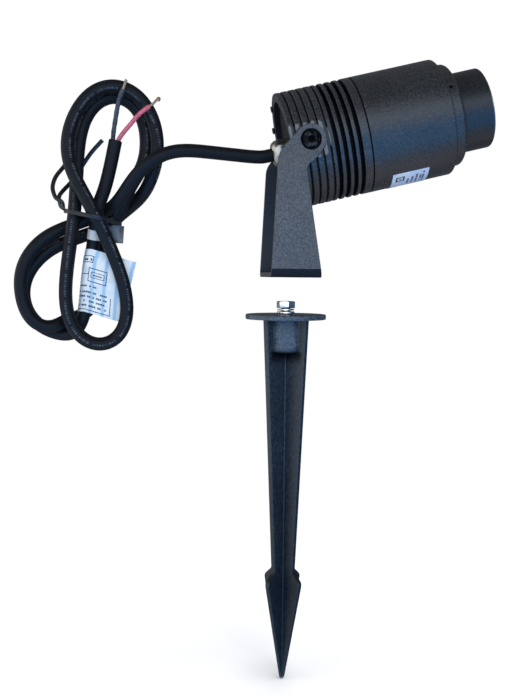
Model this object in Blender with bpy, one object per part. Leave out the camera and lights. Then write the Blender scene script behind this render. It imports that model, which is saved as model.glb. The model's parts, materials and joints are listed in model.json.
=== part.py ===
"""Light projector stake: a tilting, pannable gobo spotlight on a U bracket, a bolt-on ground stake,
and a coiled two-core cable. All sizes are millimetres and are scaled to metres on the mesh.
Frame: origin at the stake's blunt point, +Z up, the lens side towards +X, the near bracket arm
at -Y. Head pieces lie along the head's own X axis and are placed from the tilt axis."""
import math
import bpy
import bmesh
import numpy as np
from mathutils import Vector

for old_object in list(bpy.data.objects):
    bpy.data.objects.remove(old_object, do_unlink=True)
for old_material in list(bpy.data.materials):
    bpy.data.materials.remove(old_material)

MM = 0.001
GAP = 0.3                       # assembly clearance between neighbouring pieces

# ---- driving dimensions; names ending in _A are stations along the head axis ----
PIVOT_X, PIVOT_Z = 9.0, 331.3   # tilt axis, parallel to Y
TILT_DEG = 13.6                 # lens side up
BODY_R = 35.0
REAR_A, SEAM_A, FRONT_A = -10.56, 34.9, 86.2
RECESS_R = 30.0                 # recess in the rear face
MOUTH_R = 30.4                  # bore of the front housing that takes the bezel
BEZEL_R, BEZEL_A = 30.8, 94.0
TUBE_R, TUBE_A0, TUBE_A1 = 24.1, 66.0, 113.7
TUBE_BORE_R, NOSE_BORE_R = 21.6, 22.6   # lens tube bore, and its wider front end
CONDENSER_BORE_R = 18.3
FLAT_Y, FLAT_R = 33.4, 12.7     # milled flats at the pivot
ARM_OUT, SHEET = 40.3, 3.0      # outer face of a bracket arm, sheet thickness
BASE_Z = 253.0                  # underside of the bracket base
BEND_OUT = 5.0                  # outer bend radius of the bracket
FLANGE_R, FLANGE_Z0, FLANGE_Z1 = 24.75, 227.3, 230.4
RIB_T, RIB_TURN = 3.0, 41.3     # rib thickness, rib direction in degrees
BOLT_R, BOLT_AF = 2.95, 10.0    # shank radius, width across flats
CABLE_R = 4.0
CABLE_HINGE_A = -25.0           # where the free cable takes over from the stub in the gland


# ============================== materials ==============================
def material(name, rgb, roughness, metallic=0.0, alpha=1.0):
    mat = bpy.data.materials.new(name)
    mat.use_nodes = True
    inputs = mat.node_tree.nodes["Principled BSDF"].inputs
    inputs["Base Color"].default_value = (*rgb, 1)
    inputs["Roughness"].default_value = roughness
    inputs["Metallic"].default_value = metallic
    inputs["Alpha"].default_value = alpha
    mat.diffuse_color = (*rgb, alpha)
    return mat


COAT = material("charcoal_powder_coat", rgb=(0.045, 0.047, 0.052), roughness=0.55, metallic=0.2)
BLUE_COAT = material("blue_grey_powder_coat", rgb=(0.11, 0.125, 0.15), roughness=0.5, metallic=0.3)
ZINC = material("zinc_plated_steel", rgb=(0.62, 0.63, 0.64), roughness=0.28, metallic=1.0)
NICKEL = material("nickel_plated_brass", rgb=(0.66, 0.63, 0.56), roughness=0.25, metallic=1.0)
BLACK_STEEL = material("black_oxide_steel", rgb=(0.012, 0.012, 0.014), roughness=0.35, metallic=0.9)
ALU = material("machined_aluminium", rgb=(0.6, 0.61, 0.62), roughness=0.35, metallic=1.0)
RUBBER = material("black_rubber", rgb=(0.012, 0.013, 0.017), roughness=0.55)
NYLON = material("black_nylon", rgb=(0.018, 0.022, 0.032), roughness=0.5)
GLASS = material("optical_glass", rgb=(0.85, 0.9, 0.92), roughness=0.03, alpha=0.4)
CIRCUIT = material("green_circuit_board", rgb=(0.02, 0.12, 0.05), roughness=0.5)
PHOSPHOR = material("led_phosphor", rgb=(0.85, 0.65, 0.08), roughness=0.4)
STAINLESS = material("stainless_sheet", rgb=(0.5, 0.5, 0.5), roughness=0.3, metallic=1.0)
PAPER = material("label_film", rgb=(0.74, 0.8, 0.88), roughness=0.35)
SMOKE = material("smoky_film", rgb=(0.12, 0.16, 0.2), roughness=0.25)
COPPER = material("bare_copper", rgb=(0.62, 0.36, 0.16), roughness=0.3, metallic=1.0)
RED_CORE = material("pink_red_core", rgb=(0.7, 0.16, 0.22), roughness=0.45)
BLACK_CORE = material("grey_black_core", rgb=(0.05, 0.06, 0.075), roughness=0.45)
SLEEVE = material("capacitor_sleeve", rgb=(0.03, 0.05, 0.12), roughness=0.4)
FERRITE = material("ferrite_block", rgb=(0.05, 0.045, 0.04), roughness=0.7)


# ============================== frames ==============================
def frame(name, parent=None):
    empty = bpy.data.objects.new(name, None)
    bpy.context.scene.collection.objects.link(empty)
    empty.parent = parent
    return empty


ROOT = frame("frame_origin")
HEAD = frame("tilt_axis", ROOT)
HEAD.location = (PIVOT_X * MM, 0, PIVOT_Z * MM)
HEAD.rotation_euler = (0, -math.radians(TILT_DEG), 0)
BRACKET = frame("pan_axis", ROOT)


# ============================== outlines ==============================
def polar(radius, degrees, centre=(0, 0)):
    angle = math.radians(degrees)
    return (centre[0] + radius * math.cos(angle), centre[1] + radius * math.sin(angle))


def arc(centre, radius, start, end, segments=4):
    return [polar(radius, start + (end - start) * k / segments, centre)
            for k in range(segments + 1)]


def hexagon(across_flats, turn):
    radius = across_flats / math.sqrt(3)
    angles = [math.radians(60 * k) + math.radians(turn) for k in range(6)]
    return [(radius * math.cos(angle), radius * math.sin(angle)) for angle in angles]


def rounded(corners, segments=5):
    """Rounds the corners of a polygon given as (first, second coordinate, fillet radius)."""
    points = []
    for i, (first, second, radius) in enumerate(corners):
        if radius <= 0:
            points.append((first, second))
            continue
        corner = Vector((first, second))
        back = (Vector(corners[i - 1][:2]) - corner).normalized()
        ahead = (Vector(corners[(i + 1) % len(corners)][:2]) - corner).normalized()
        half = back.angle(ahead) / 2
        reach = radius / math.tan(half)
        centre = corner + (back + ahead).normalized() * (radius / math.sin(half))
        begin = corner + back * reach - centre
        finish = corner + ahead * reach - centre
        angle = math.atan2(begin.y, begin.x)
        turn = math.atan2(finish.y, finish.x) - angle
        turn = (turn + math.pi) % (2 * math.pi) - math.pi
        for k in range(segments + 1):
            now = angle + turn * k / segments
            points.append((centre.x + radius * math.cos(now), centre.y + radius * math.sin(now)))
    return points


# ============================== solids ==============================
def make(name, verts, faces, mat, parent=ROOT):
    """Mesh object from millimetre vertices. Without a material it is a hidden boolean cutter."""
    mesh = bpy.data.meshes.new(name)
    mesh.from_pydata([tuple(c * MM for c in vert) for vert in verts], [], faces)
    bm = bmesh.new()
    bm.from_mesh(mesh)
    bmesh.ops.recalc_face_normals(bm, faces=bm.faces)
    bm.to_mesh(mesh)
    bm.free()
    solid = bpy.data.objects.new(name, mesh)
    bpy.context.scene.collection.objects.link(solid)
    solid.parent = parent
    if mat:
        mesh.materials.append(mat)
    else:
        solid.hide_render = True
        solid.display_type = "WIRE"
    return solid


def place(axis, along, first, second):
    """Point at a distance along an axis; the other two coordinates follow in X, Y, Z order."""
    if axis == "X":
        return (along, first, second)
    if axis == "Y":
        return (first, along, second)
    return (first, second, along)


def lathe(name, profile, segments, mat, parent=HEAD, axis="X", centre=(0, 0), turn=0.0):
    """Turns a profile of (station, radius) about an axis. Points of radius 0 are single vertices;
    a profile with no such end point closes on itself as a ring."""
    verts, rows = [], []
    for station, radius in profile:
        if radius <= 1e-6:
            rows.append([len(verts)] * segments)
            verts.append(place(axis, station, *centre))
            continue
        rows.append(list(range(len(verts), len(verts) + segments)))
        for i in range(segments):
            angle = 2 * math.pi * i / segments + turn
            verts.append(place(axis, station, centre[0] + radius * math.cos(angle),
                               centre[1] + radius * math.sin(angle)))
    closed = profile[0][1] > 1e-6 and profile[-1][1] > 1e-6
    faces = []
    for k in range(len(profile) if closed else len(profile) - 1):
        row, after = rows[k], rows[(k + 1) % len(profile)]
        for i in range(segments):
            j = (i + 1) % segments
            face = list(dict.fromkeys([row[i], row[j], after[j], after[i]]))
            if len(face) > 2:
                faces.append(face)
    return make(name, verts, faces, mat, parent)


def disc(name, start, end, radius, segments, mat, parent=HEAD, axis="X", centre=(0, 0), turn=0.0):
    low, high = min(start, end), max(start, end)
    profile = [(low, 0), (low, radius), (high, radius), (high, 0)]
    return lathe(name, profile, segments, mat, parent, axis, centre, turn)


def tube_ring(name, start, end, outer, inner, segments, mat, parent=HEAD, axis="X"):
    profile = [(start, inner), (start, outer), (end, outer), (end, inner)]
    return lathe(name, profile, segments, mat, parent, axis)


def o_ring(name, station, ring_r, section_r):
    sides = 6
    angles = [2 * math.pi * k / sides for k in range(sides)]
    profile = [(station + section_r * math.cos(angle), ring_r + section_r * math.sin(angle))
               for angle in angles]
    return lathe(name, profile, 24, RUBBER)


def prism(name, outline, start, end, mat, parent=HEAD, axis="X"):
    count = len(outline)
    verts = [place(axis, along, *point) for along in (start, end) for point in outline]
    faces = [list(range(count)), list(range(2 * count - 1, count - 1, -1))]
    faces += [[i, (i + 1) % count, count + (i + 1) % count, count + i] for i in range(count)]
    return make(name, verts, faces, mat, parent)


def sweep(name, path, radius, sides, mat, round_start=False):
    """Round bar along a path, with parallel-transported rings and closed ends."""
    centres = [Vector(tuple(point)) for point in path]
    last = len(centres) - 1
    up = Vector((0, 1, 0))
    rings = []                  # (centre, up, side, radius)
    for i, centre in enumerate(centres):
        along = (centres[min(i + 1, last)] - centres[max(i - 1, 0)]).normalized()
        up = (up - along * up.dot(along)).normalized()
        rings.append((centre, up.copy(), along.cross(up), radius))
    tip = centres[0]
    if round_start:
        start, start_up, start_side, _ = rings[0]
        along = (centres[1] - start).normalized()
        dome = [(start - along * radius * math.sin(angle), start_up, start_side,
                 radius * math.cos(angle)) for angle in (math.radians(60), math.radians(30))]
        rings = dome + rings
        tip = start - along * radius
    verts = [tuple(tip)]
    for centre, ring_up, side, ring_r in rings:
        for k in range(sides):
            angle = 2 * math.pi * k / sides
            verts.append(tuple(centre + (ring_up * math.cos(angle) + side * math.sin(angle)) * ring_r))
    verts.append(tuple(centres[-1]))
    end = len(verts) - 1
    end_ring = end - sides
    faces = []
    for here in range(1, end_ring, sides):
        after = here + sides
        for k in range(sides):
            j = (k + 1) % sides
            faces.append([here + k, here + j, after + j, after + k])
    for k in range(sides):
        j = (k + 1) % sides
        faces.append([0, 1 + j, 1 + k])
        faces.append([end, end_ring + k, end_ring + j])
    return make(name, verts, faces, mat)


# ============================== booleans ==============================
def cut(target, cutter, operation="DIFFERENCE"):
    mod = target.modifiers.new(operation.lower() + "_" + cutter.name, "BOOLEAN")
    mod.operation = operation
    mod.object = cutter
    mod.solver = "EXACT"


def bore(target, name, start, end, radius, segments, axis="X", centre=(0, 0), turn=0.0):
    """Round hole in a target, in the target's own parent frame."""
    cutter = disc(name, start, end, radius, segments, None, target.parent, axis, centre, turn)
    cut(target, cutter)
    return cutter


def trim_hex(target, name, across_flats, turn, start, end, axis="X"):
    """Keeps only what lies inside a hexagonal bar."""
    bar = prism(name, hexagon(across_flats, turn), start, end, None, target.parent, axis)
    cut(target, bar, "INTERSECT")


# ============================== housing ==============================
COVER_SCREWS = [polar(27.6, angle) for angle in (90, 210, 330)]
RIM_SCREWS = [polar(32.5, angle) for angle in (62.0, 32.0)]
WIRE_Y, WIRE_Z = 4.5, -19.0     # the two LED wires, at -Y and +Y
LOCK_A = 89.0
LOCK_TURN = math.radians(180 - 24.5)    # turns +Y to the near side, 24.5 degrees above level
HEX_TURN = 30                   # degrees, hexagons of the gland


def grooves(stations, half_width, depth):
    """Profile points of square grooves in the barrel."""
    floor = BODY_R - depth
    points = []
    for station in stations:
        start, end = station - half_width, station + half_width
        points += [(start, BODY_R), (start, floor), (end, floor), (end, BODY_R)]
    return points


rear = lathe("rear_housing", [
    (12.0, 0), (12.0, 24.5), (-3.2, 24.5), (-3.2, RECESS_R),
    (REAR_A, RECESS_R), (REAR_A, BODY_R - 0.6), (REAR_A + 0.6, BODY_R),
    *grooves([-7.0, -2.5, 2.05, 6.6, 11.1], half_width=0.4, depth=1.2),
    *grooves([14.9, 19.45, 24.0, 28.5], half_width=1.15, depth=4.5),
    (SEAM_A - 0.6, BODY_R), (SEAM_A - 0.2, BODY_R - 0.4), (SEAM_A - 0.2, 31.2),
    # groove of the body O-ring, in the seam face
    (33.0, 31.2), (33.0, 28.6), (SEAM_A - 0.2, 28.6),
    (SEAM_A - 0.2, 26.8), (20.0, 26.8), (20.0, 0)], 28, COAT, turn=math.radians(5))
flat_outline = [(-14.0, -FLAT_R), (0.0, -FLAT_R)]
flat_outline += [polar(FLAT_R, angle) for angle in range(-75, 90, 15)]
flat_outline += [(0.0, FLAT_R), (-14.0, FLAT_R)]
for s in (-1, 1):
    cut(rear, prism("cut_flat_%d" % (s + 1), flat_outline, s * FLAT_Y, s * 38.0, None, axis="Y"))
    bore(rear, "cut_thread_%d" % (s + 1), s * 26.2, s * 39.0, 2.7, 16, "Y")
for s in (-1, 1):
    bore(rear, "cut_wire_%d" % (s + 1), 10.0, 22.0, 1.9, 12, centre=(s * WIRE_Y, WIRE_Z))
for k, spot in enumerate(COVER_SCREWS):
    bore(rear, "cut_cover_screw_%d" % k, -5.0, 3.0, 1.4, 10, centre=spot)
for k, spot in enumerate(RIM_SCREWS):
    bore(rear, "cut_rim_screw_%d" % k, -12.0, -7.6, 1.1, 10, centre=spot)

lathe("front_housing", [
    (30.2, 24.9), (30.2, 26.5), (SEAM_A + 0.2, 26.5), (SEAM_A + 0.2, BODY_R - 0.4),
    (SEAM_A + 0.6, BODY_R), (FRONT_A - 0.6, BODY_R), (FRONT_A, BODY_R - 0.6), (FRONT_A, MOUTH_R),
    (78.0, MOUTH_R), (78.0, 31.6), (38.2, 31.6), (38.2, 24.9)], 32, COAT)

BEZEL_BORE_R = TUBE_R + GAP
bezel = lathe("bezel_ring", [
    (78.3, BEZEL_BORE_R), (78.3, MOUTH_R - GAP), (86.5, MOUTH_R - GAP), (86.5, BEZEL_R),
    (91.7, BEZEL_R), (92.5, BEZEL_R - 0.4), (BEZEL_A, BEZEL_R - 1.2), (BEZEL_A, BEZEL_BORE_R),
    # groove of the focus O-ring
    (83.3, BEZEL_BORE_R), (83.3, 26.3), (81.1, 26.3), (81.1, BEZEL_BORE_R)], 32, COAT)
lock_hole = bore(bezel, "cut_lock", 23.0, 33.0, 1.35, 10, "Y", (LOCK_A, 0))
lock_hole.rotation_euler = (LOCK_TURN, 0, 0)
lock_screw = disc("focus_lock_screw", 25.2, 31.0, 1.05, 10, BLACK_STEEL, HEAD, "Y", (LOCK_A, 0))
lock_screw.rotation_euler = (LOCK_TURN, 0, 0)

o_ring("focus_o_ring", 82.2, 25.25, 0.82)
o_ring("body_o_ring", 33.95, 29.9, 0.85)

# rating sticker: thin curved film on the lower near side of the barrel
sticker_angles = [math.radians(-56.0 + (-98.0 + 56.0) * k / 5) for k in range(6)]
sticker_arcs = ((BODY_R + 0.55, sticker_angles), (BODY_R + GAP, sticker_angles[::-1]))
sticker = [(-radius * math.cos(angle), radius * math.sin(angle))
           for radius, angles in sticker_arcs for angle in angles]
prism("rating_sticker", sticker, 46.5, 69.0, PAPER)

# ============================== optics ==============================
# lens tube and its stack
LENS_R = TUBE_BORE_R - GAP
lathe("lens_tube", [
    (TUBE_A0, TUBE_BORE_R), (TUBE_A0, TUBE_R), (TUBE_A1 - 1.0, TUBE_R),
    (TUBE_A1 - 0.3, TUBE_R - 0.35), (TUBE_A1, TUBE_R - 1.0), (TUBE_A1, NOSE_BORE_R),
    (104.5, NOSE_BORE_R), (104.5, TUBE_BORE_R)], 32, COAT)
lathe("front_lens", [
    (104.8, 0), (104.8, NOSE_BORE_R - GAP), (107.4, NOSE_BORE_R - GAP), (108.9, 17.5),
    (110.1, 11.0), (110.7, 5.0), (110.8, 0)], 24, GLASS)
tube_ring("front_retaining_ring", 108.3, 109.9, NOSE_BORE_R - GAP, 20.9, 24, COAT)
lathe("rear_lens", [(70.0, 0), (70.0, LENS_R), (72.0, LENS_R), (74.2, 15.0), (75.4, 7.0), (75.7, 0)],
      24, GLASS)
tube_ring("lens_spacer", 72.9, 104.4, LENS_R, 20.1, 24, ALU)
tube_ring("rear_retaining_ring", 67.2, 69.7, LENS_R, 18.5, 24, ALU)

# light source and condenser
CONDENSER_R = CONDENSER_BORE_R - GAP
lathe("condenser_holder", [
    (20.4, 16.3), (20.4, 25.5), (22.8, 25.5), (22.8, 21.5), (46.0, 21.5), (46.0, CONDENSER_BORE_R),
    (26.5, CONDENSER_BORE_R), (26.5, 14.5), (25.0, 14.5), (25.0, 16.3)], 20, ALU)
disc("led_board", 20.3, 21.8, 15.9, 24, ALU)
disc("led_chip", 22.1, 23.1, 7.0, 20, PHOSPHOR)
lathe("condenser_lens_1", [
    (26.8, 0), (26.8, CONDENSER_R), (28.3, CONDENSER_R), (30.4, 13.0), (32.0, 7.0), (32.7, 0)],
    24, GLASS)
tube_ring("condenser_spacer", 29.2, 39.6, CONDENSER_R, 16.9, 24, ALU)
lathe("condenser_lens_2", [
    (36.2, 0), (36.9, 7.0), (38.6, 13.0), (40.6, CONDENSER_R), (42.2, CONDENSER_R), (42.2, 0)],
    24, GLASS)

# gobo, pierced by a ring of six holes and a larger one in the middle
GOBO_R = 16.2
lathe("gobo_holder", [
    (42.6, 13.4), (42.6, CONDENSER_R), (46.3, CONDENSER_R), (46.3, 21.5), (50.6, 21.5),
    (50.6, 16.6), (47.6, 16.6), (47.6, 13.4)], 20, ALU)
gobo = disc("gobo_disc", 47.9, 48.5, GOBO_R, 24, STAINLESS, turn=0.09)
gobo_holes = [(polar(8.2, 60 * k), 1.9) for k in range(6)] + [((0, 0), 2.6)]
for k, (spot, radius) in enumerate(gobo_holes):
    bore(gobo, "cut_gobo_%d" % k, 47.0, 49.5, radius, 8, centre=spot, turn=0.2)
tube_ring("gobo_retaining_ring", 48.8, 50.3, GOBO_R, 13.8, 24, ALU)

# ============================== driver ==============================
BOARD_TOP_A = 2.8
ON_BOARD_A = BOARD_TOP_A + GAP
STUD_Y = 17.0
board = disc("driver_board", 1.2, BOARD_TOP_A, 23.9, 24, CIRCUIT, turn=0.13)
for s, number, wire, wire_mat in ((-1, 1, "black", BLACK_CORE), (1, 2, "red", RED_CORE)):
    stud_at = (s * STUD_Y, 0)
    bore(board, "cut_board_%d" % (s + 1), 0.0, 4.0, 1.4, 10, centre=stud_at, turn=0.2)
    lathe("board_stud_%d" % number, [
        (0.2, 0), (0.2, 1.1), (ON_BOARD_A, 1.1), (ON_BOARD_A, 2.5), (11.7, 2.5), (11.7, 0)],
        6, ZINC, centre=stud_at)
    disc("led_wire_" + wire, ON_BOARD_A, 19.9, 1.1, 8, wire_mat, centre=(s * WIRE_Y, WIRE_Z))
disc("driver_capacitor", ON_BOARD_A, 11.3, 5.0, 16, SLEEVE, centre=(0, 12.5))
prism("driver_inductor", rounded([(-7, -9, 1), (7, -9, 1), (7, 3, 1), (-7, 3, 1)], 2),
      ON_BOARD_A, 10.6, FERRITE)

# ============================== rear cover ==============================
COVER_R = RECESS_R - GAP
cover = lathe("rear_cover", [
    (-6.9, 6.0), (-6.9, COVER_R - 0.6), (-6.3, COVER_R), (-4.6, COVER_R), (-4.6, 6.0)],
    28, COAT, turn=0.07)
for k, spot in enumerate(COVER_SCREWS):
    bore(cover, "cut_cover_%d" % k, -8.0, -4.0, 1.4, 10, centre=spot)
    lathe("rear_cover_screw_%d" % (k + 1), [
        (-8.6, 0), (-8.6, 1.3), (-8.2, 1.8), (-7.2, 1.8), (-7.2, 1.1), (1.5, 1.1), (1.5, 0)],
        12, BLACK_STEEL, centre=spot)
tube_ring("rear_gasket", -4.3, -3.5, 26.1, 24.6, 28, RUBBER)
RIM_HEAD_A = REAR_A - GAP       # underside of the rim screw heads
for k, (spot, top) in enumerate(zip(RIM_SCREWS, (-11.7, -12.1))):
    lathe("rear_rim_screw_%d" % (k + 1), [
        (top, 0), (top, 1.2), (top + 0.4, 2.0), (RIM_HEAD_A, 2.0), (RIM_HEAD_A, 0.8), (-8.2, 0.8),
        (-8.2, 0)], 12, BLACK_STEEL, centre=spot)

# ============================== cable gland ==============================
gland = lathe("gland_body", [
    (-16.0, 4.6), (-16.0, 5.4), (-10.9, 5.4), (-10.9, 8.3), (-7.2, 8.3), (-7.2, 5.7), (-1.9, 5.7),
    (-1.9, 4.6)], 24, NICKEL)
trim_hex(gland, "cut_gland_hex", 14.0, HEX_TURN, -18.0, 0.0)
gland_nut = lathe("gland_nut", [
    (-18.8, 4.5), (-18.8, 5.8), (-18.2, 6.7), (-16.9, 7.6), (-14.9, 8.3), (-11.2, 8.3), (-11.2, 5.8),
    (-16.4, 5.8), (-17.8, 5.3), (-17.8, 4.5)], 24, NICKEL)
trim_hex(gland_nut, "cut_nut_hex", 14.4, HEX_TURN, -30.0, 0.0)
tube_ring("gland_seal", -17.5, -16.4, 5.0, 4.3, 16, RUBBER)
lock_nut = prism("gland_lock_nut", hexagon(15.0, HEX_TURN), -4.3, -1.9, NICKEL)
bore(lock_nut, "cut_lock_nut", -6.0, 0.0, 6.0, 20)
disc("cable_stub", CABLE_HINGE_A + CABLE_R + GAP, -1.2, CABLE_R, 16, RUBBER)

# ============================== pivot hardware ==============================
ARM_IN = ARM_OUT - SHEET
for s, side in ((-1, "left"), (1, "right")):
    # (distance from the middle, radius), ending in the recessed head
    screw = [(27.0, 0), (27.0, 2.4), (38.9, 2.4), (38.9, 4.7), (40.0, 4.7), (41.0, 4.0),
             (41.5, 2.4), (40.2, 1.9), (40.2, 0)]
    lathe("pivot_screw_" + side, [(s * reach, radius) for reach, radius in screw],
          20, BLACK_STEEL, HEAD, "Y")
    tube_ring("pivot_washer_" + side, s * (FLAT_Y + GAP), s * (ARM_IN - GAP), 7.6, 2.8, 24, NYLON,
              HEAD, "Y")

# ============================== bracket ==============================
# Side outline of an arm, as (x, z) from the tilt axis: a round end over a tapering leg.
BELOW_BASE = BASE_Z - PIVOT_Z - 2.0
arm_end = [polar(8.75, angle) for angle in [*range(-20, 139, 12), 138.7]]
arm_corners = [                 # (x, z, fillet radius)
    (-18.47, -7.6, 13.0), (-22.1, BELOW_BASE, 0), (7.8, BELOW_BASE, 0),
    (-2.5, -15.3, 4.8), (4.9, -8.8, 7.0)]
leg = rounded([(*arm_end[-1], 0), *arm_corners, (*arm_end[0], 0)])
arm_outline = [(x + PIVOT_X, z + PIVOT_Z) for x, z in arm_end[1:-1] + leg]

# The bent sheet as a U of (y, z), taller than the arms and trimmed to their outline.
U_TOP = 345.0
BEND_IN = BEND_OUT - SHEET
near_bend = (-ARM_OUT + BEND_OUT, BASE_Z + BEND_OUT)
far_bend = (ARM_OUT - BEND_OUT, BASE_Z + BEND_OUT)
u_outline = [
    (-ARM_OUT, U_TOP), *arc(near_bend, BEND_OUT, 180, 270), *arc(far_bend, BEND_OUT, 270, 360),
    (ARM_OUT, U_TOP), (ARM_IN, U_TOP),
    *arc(far_bend, BEND_IN, 360, 270), *arc(near_bend, BEND_IN, 270, 180), (-ARM_IN, U_TOP)]
bracket = prism("bracket", u_outline, -40.0, 40.0, BLUE_COAT, BRACKET)
cut(bracket, prism("cut_outline", arm_outline, -60.0, 60.0, None, BRACKET, "Y"), "INTERSECT")
bore(bracket, "cut_base_hole", 245.0, 262.0, 3.4, 20, "Z")
for s in (-1, 1):
    pivot = (PIVOT_X, PIVOT_Z)
    bore(bracket, "cut_arm_hole_%d" % (s + 1), s * 30.0, s * 45.0, 2.8, 16, "Y", pivot)
    bore(bracket, "cut_arm_bore_%d" % (s + 1), s * (ARM_OUT - 1.8), s * 45.0, 5.9, 24, "Y", pivot)

# ============================== stake ==============================
LEVELS = [                      # (height, rib reach, rib thickness)
    (0.0, 1.5, 2.0), (62.0, 14.7, RIB_T), (64.3, 14.7, RIB_T), (69.6, 8.95, RIB_T),
    (FLANGE_Z0 + 1.0, 18.05, RIB_T)]
INSERT_R = 4.2


def cross_cap(start):
    """Faces across one level: four ribs and the square between them."""
    ribs = [[start + 3 * k, start + 3 * k + 1, start + 3 * k + 2, start + (3 * k + 11) % 12]
            for k in range(4)]
    return ribs + [[start + 2, start + 5, start + 8, start + 11]]


def ribbed_stake():
    """Cross-shaped bar; each rib adds two tip corners and one inner corner to a level."""
    verts, faces = [], []
    for z, reach, thick in LEVELS:
        for k in range(4):
            angle = math.radians(RIB_TURN + 90 * k)
            out = Vector((math.cos(angle), math.sin(angle)))
            across = Vector((-math.sin(angle), math.cos(angle)))
            for point in (out * reach - across * thick / 2, out * reach + across * thick / 2,
                          (out + across) * thick / 2):
                verts.append((point.x, point.y, z))
    top = (len(LEVELS) - 1) * 12
    for low in range(0, top, 12):
        for k in range(12):
            j = (k + 1) % 12
            faces.append([low + k, low + j, low + 12 + j, low + 12 + k])
    return make("stake", verts, faces + cross_cap(0) + cross_cap(top), NYLON)


stake = ribbed_stake()
cut(stake, lathe("add_flange", [
    (FLANGE_Z0, 0), (FLANGE_Z0, FLANGE_R - 0.3), (FLANGE_Z0 + 0.3, FLANGE_R),
    (FLANGE_Z1 - 0.6, FLANGE_R), (FLANGE_Z1, FLANGE_R - 0.6), (FLANGE_Z1, 0)],
    32, None, ROOT, "Z"), "UNION")
cut(stake, lathe("add_boss", [
    (207.0, 0), (207.0, 10.9), (207.5, 12.0), (208.6, 12.6), (FLANGE_Z0 + 0.7, 11.1),
    (FLANGE_Z0 + 0.7, 0)], 24, None, ROOT, "Z", turn=0.1), "UNION")
bore(stake, "cut_insert", 211.5, 240.0, INSERT_R + GAP, 20, "Z")
tube_ring("threaded_insert", 212.0, FLANGE_Z1 - 0.2, INSERT_R, 3.25, 18, ZINC, ROOT, "Z")

# bolt and washers, stacked on the flange
STACK_GAP = 0.25
FLAT_Z0 = FLANGE_Z1 + GAP
FLAT_Z1 = FLAT_Z0 + 1.4
SPRING_Z0 = FLAT_Z1 + STACK_GAP
SPRING_Z1 = SPRING_Z0 + 1.6
BOLT_HEAD_Z = SPRING_Z1 + STACK_GAP
tube_ring("flat_washer", FLAT_Z0, FLAT_Z1, 5.5, 3.3, 24, ZINC, BRACKET, "Z")
spring = tube_ring("spring_washer", SPRING_Z0, SPRING_Z1, 5.1, 3.2, 24, ZINC, BRACKET, "Z")
cut(spring, prism("cut_split", [(2.0, -0.5), (7.0, -1.1), (7.0, 0.1), (2.0, 0.5)],
                  SPRING_Z0 - 1, SPRING_Z1 + 1, None, BRACKET, "Z"))
bolt = lathe("hex_bolt", [
    (214.5, 0), (214.5, BOLT_R - 0.6), (215.2, BOLT_R), (BOLT_HEAD_Z, BOLT_R), (BOLT_HEAD_Z, 6.2),
    (BOLT_HEAD_Z + 3.4, 6.2), (BOLT_HEAD_Z + 4.2, 5.0), (BOLT_HEAD_Z + 4.2, 0)],
    24, ZINC, BRACKET, "Z")
trim_hex(bolt, "cut_bolt_hex", BOLT_AF, -18.3, 200.0, BOLT_HEAD_Z + 9, "Z")

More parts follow.
